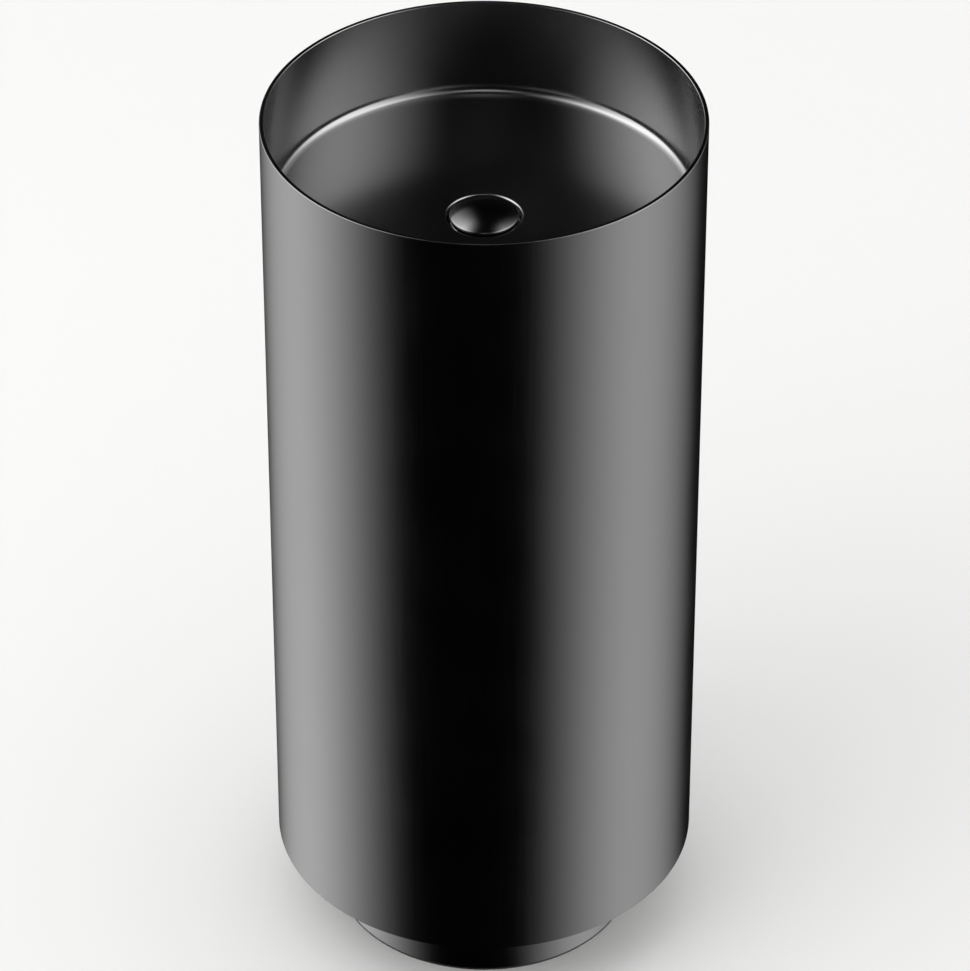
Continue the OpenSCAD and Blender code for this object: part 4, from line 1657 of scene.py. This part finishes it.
@dataclass(frozen=True)
class SoftLight:
    """A soft light that the metal mirrors, as a patch of brightness in some direction.

    Attributes:
        azimuth: Direction round the object in degrees; 0 is the front and 90 the right.
        width: Angle from its middle to where it fades out, in degrees.
        strength: Brightness in its middle, below the horizon.
        above: Brightness in its middle, above the horizon.
        elevation: Height of its middle in degrees, or None for a wall of light from floor to ceiling.
    """

    azimuth: float
    width: float
    strength: float
    above: float
    elevation: float | None = None

    def glow(self, tree: bpy.types.NodeTree, where: bpy.types.NodeSocket) -> bpy.types.NodeSocket:
        """Adds the nodes that give the light's brightness in a direction.

        Args:
            tree: The world's node tree.
            where: The direction.

        Returns:
            The brightness.
        """
        height = add_node(tree, "ShaderNodeSeparateXYZ", {"Vector": where}).outputs["Z"]
        turn = math.radians(self.azimuth)
        rise = math.radians(self.elevation or 0.0)
        middle = (math.sin(turn) * math.cos(rise), -math.cos(turn) * math.cos(rise), math.sin(rise))
        if self.elevation is None:
            flat = add_node(tree, "ShaderNodeVectorMath", {0: where, 1: (1, 1, 0)}, operation="MULTIPLY")
            where = flat.outputs["Vector"]
        unit = add_node(tree, "ShaderNodeVectorMath", {0: where}, operation="NORMALIZE")
        dot = add_node(
            tree, "ShaderNodeVectorMath", {0: unit.outputs["Vector"], 1: middle}, operation="DOT_PRODUCT"
        )
        angle = add_node(tree, "ShaderNodeMath", {0: dot.outputs["Value"]}, operation="ARCCOSINE")
        fade = add_node(
            tree,
            "ShaderNodeMapRange",
            {
                "Value": angle.outputs[0],
                "From Min": 0.0,
                "From Max": math.radians(self.width),
                "To Min": 1.0,
                "To Max": 0.0,
            },
            interpolation_type="SMOOTHSTEP",
        )
        level = add_node(
            tree,
            "ShaderNodeMapRange",
            {
                "Value": height,
                "From Min": -0.2,
                "From Max": 0.1,
                "To Min": self.strength,
                "To Max": self.above,
            },
            interpolation_type="SMOOTHSTEP",
        )
        lit = add_node(
            tree,
            "ShaderNodeMath",
            {0: fade.outputs["Result"], 1: level.outputs["Result"]},
            operation="MULTIPLY",
        ).outputs[0]
        if self.elevation is not None:
            return lit
        ceiling = add_node(
            tree,
            "ShaderNodeMapRange",
            {"Value": height, "From Min": 0.85, "From Max": 0.99, "To Min": 1.0, "To Max": 0.0},
            interpolation_type="SMOOTHSTEP",
        )
        below = add_node(
            tree, "ShaderNodeMath", {0: lit, 1: ceiling.outputs["Result"]}, operation="MULTIPLY"
        )
        return below.outputs[0]


@dataclass
class Studio:
    """Pale floor, soft lights and the camera.

    Attributes:
        lights: Soft lights that the metal mirrors.
        aim: Height of the point that the camera looks at, in metres.
        distance: Distance from there to the camera, in metres.
        elevation: Height of the camera above the horizon, in degrees.
        lens: Focal length in millimetres, on a 36 mm sensor.
        shift: Sideways shift of the picture.
        floor_half: Half the floor's width, in metres.
        room: Brightness of the room that lights the floor and shows behind the object.
        key_power: Power of the light that gives the floor its shadow, in watts.
        key_size: Width of that light, in metres.
        key_place: Its place, in metres.
    """

    lights: tuple[SoftLight, ...] = (
        SoftLight(azimuth=-106, width=66, strength=1.8, above=4.8),
        SoftLight(azimuth=86, width=66, strength=1.55, above=3.9),
        SoftLight(azimuth=0, width=16, strength=0.0, above=1.4, elevation=62),
    )
    aim: float = 0.4743
    distance: float = 5.0714
    elevation: float = 36.581
    lens: float = 201.68
    shift: float = 0.001
    floor_half: float = 60.0
    room: float = 0.95
    key_power: float = 40.0
    key_size: float = 3.0
    key_place: Place = (-2.2, -1.6, 3.6)

    def build(self) -> None:
        """Makes floor, lights and camera."""
        self.make_floor()
        self.make_world()
        self.make_key()
        self.make_camera()
        bpy.context.scene.view_settings.view_transform = "Standard"

    def make_floor(self) -> None:
        """Makes the pale floor, which the metal doesn't mirror."""
        half = self.floor_half
        mesh = bpy.data.meshes.new("floor")
        corners = [(-half, -half, 0), (half, -half, 0), (half, half, 0), (-half, half, 0)]
        mesh.from_pydata(corners, [], [(0, 1, 2, 3)])
        floor = bpy.data.objects.new("floor", mesh)
        mesh.materials.append(STUDIO_PAINT.material())
        bpy.context.scene.collection.objects.link(floor)
        floor.visible_glossy = False

    def make_world(self) -> None:
        """Makes the room: white where the camera looks past the object, and soft lights in the metal."""
        world = bpy.data.worlds.new("studio")
        world.use_nodes = True
        bpy.context.scene.world = world
        tree = world.node_tree
        tree.nodes.clear()
        where = add_node(tree, "ShaderNodeTexCoord").outputs["Generated"]
        total = self.lights[0].glow(tree, where)
        for light in self.lights[1:]:
            total = add_node(
                tree, "ShaderNodeMath", {0: total, 1: light.glow(tree, where)}, operation="ADD"
            ).outputs[0]
        rays = add_node(tree, "ShaderNodeLightPath")
        strength = add_node(
            tree, "ShaderNodeMix", {"Factor": rays.outputs["Is Glossy Ray"], 2: self.room, 3: total}
        )
        sky = add_node(tree, "ShaderNodeBackground", {"Strength": strength.outputs[0]})
        sky.inputs["Color"].default_value = (1, 1, 1, 1)
        add_node(tree, "ShaderNodeOutputWorld", {"Surface": sky.outputs[0]})

    def make_key(self) -> None:
        """Makes a large soft light high on the left, which gives the floor its faint shadow."""
        key = bpy.data.lights.new("key", "AREA")
        key.energy = self.key_power
        key.shape = "DISK"
        key.size = self.key_size
        lamp = bpy.data.objects.new("key", key)
        place = Vector(self.key_place)
        lamp.location = place
        lamp.rotation_euler = (-place).to_track_quat("-Z", "Y").to_euler()
        lamp.visible_glossy = False
        bpy.context.scene.collection.objects.link(lamp)

    def make_camera(self) -> None:
        """Makes the camera, in front of the object and looking down at it."""
        data = bpy.data.cameras.new("camera")
        data.lens = self.lens
        data.sensor_width = 36.0
        data.shift_x = self.shift
        data.clip_end = 200.0
        camera = bpy.data.objects.new("camera", data)
        rise = math.radians(self.elevation)
        camera.location = (0, -self.distance * math.cos(rise), self.aim + self.distance * math.sin(rise))
        camera.rotation_euler = (math.radians(90) - rise, 0, 0)
        bpy.context.scene.collection.objects.link(camera)
        bpy.context.scene.camera = camera


def main() -> None:
    """Builds every sub-assembly and the studio."""
    logging.basicConfig(level=logging.INFO, format="%(message)s")
    ring = RoundAxis()
    roll = RolledSheet()
    sub_assemblies: list[SubAssembly] = [
        OuterShell(roll),
        Basin(),
        Plinth(ring),
        FloorRing(),
        Hatch(),
        Waste(),
        Plug(),
        Trap(ring),
        Outlet(),
    ]
    for sub_assembly in sub_assemblies:
        sub_assembly.build()
    Studio().build()


if __name__ == "__main__":
    main()
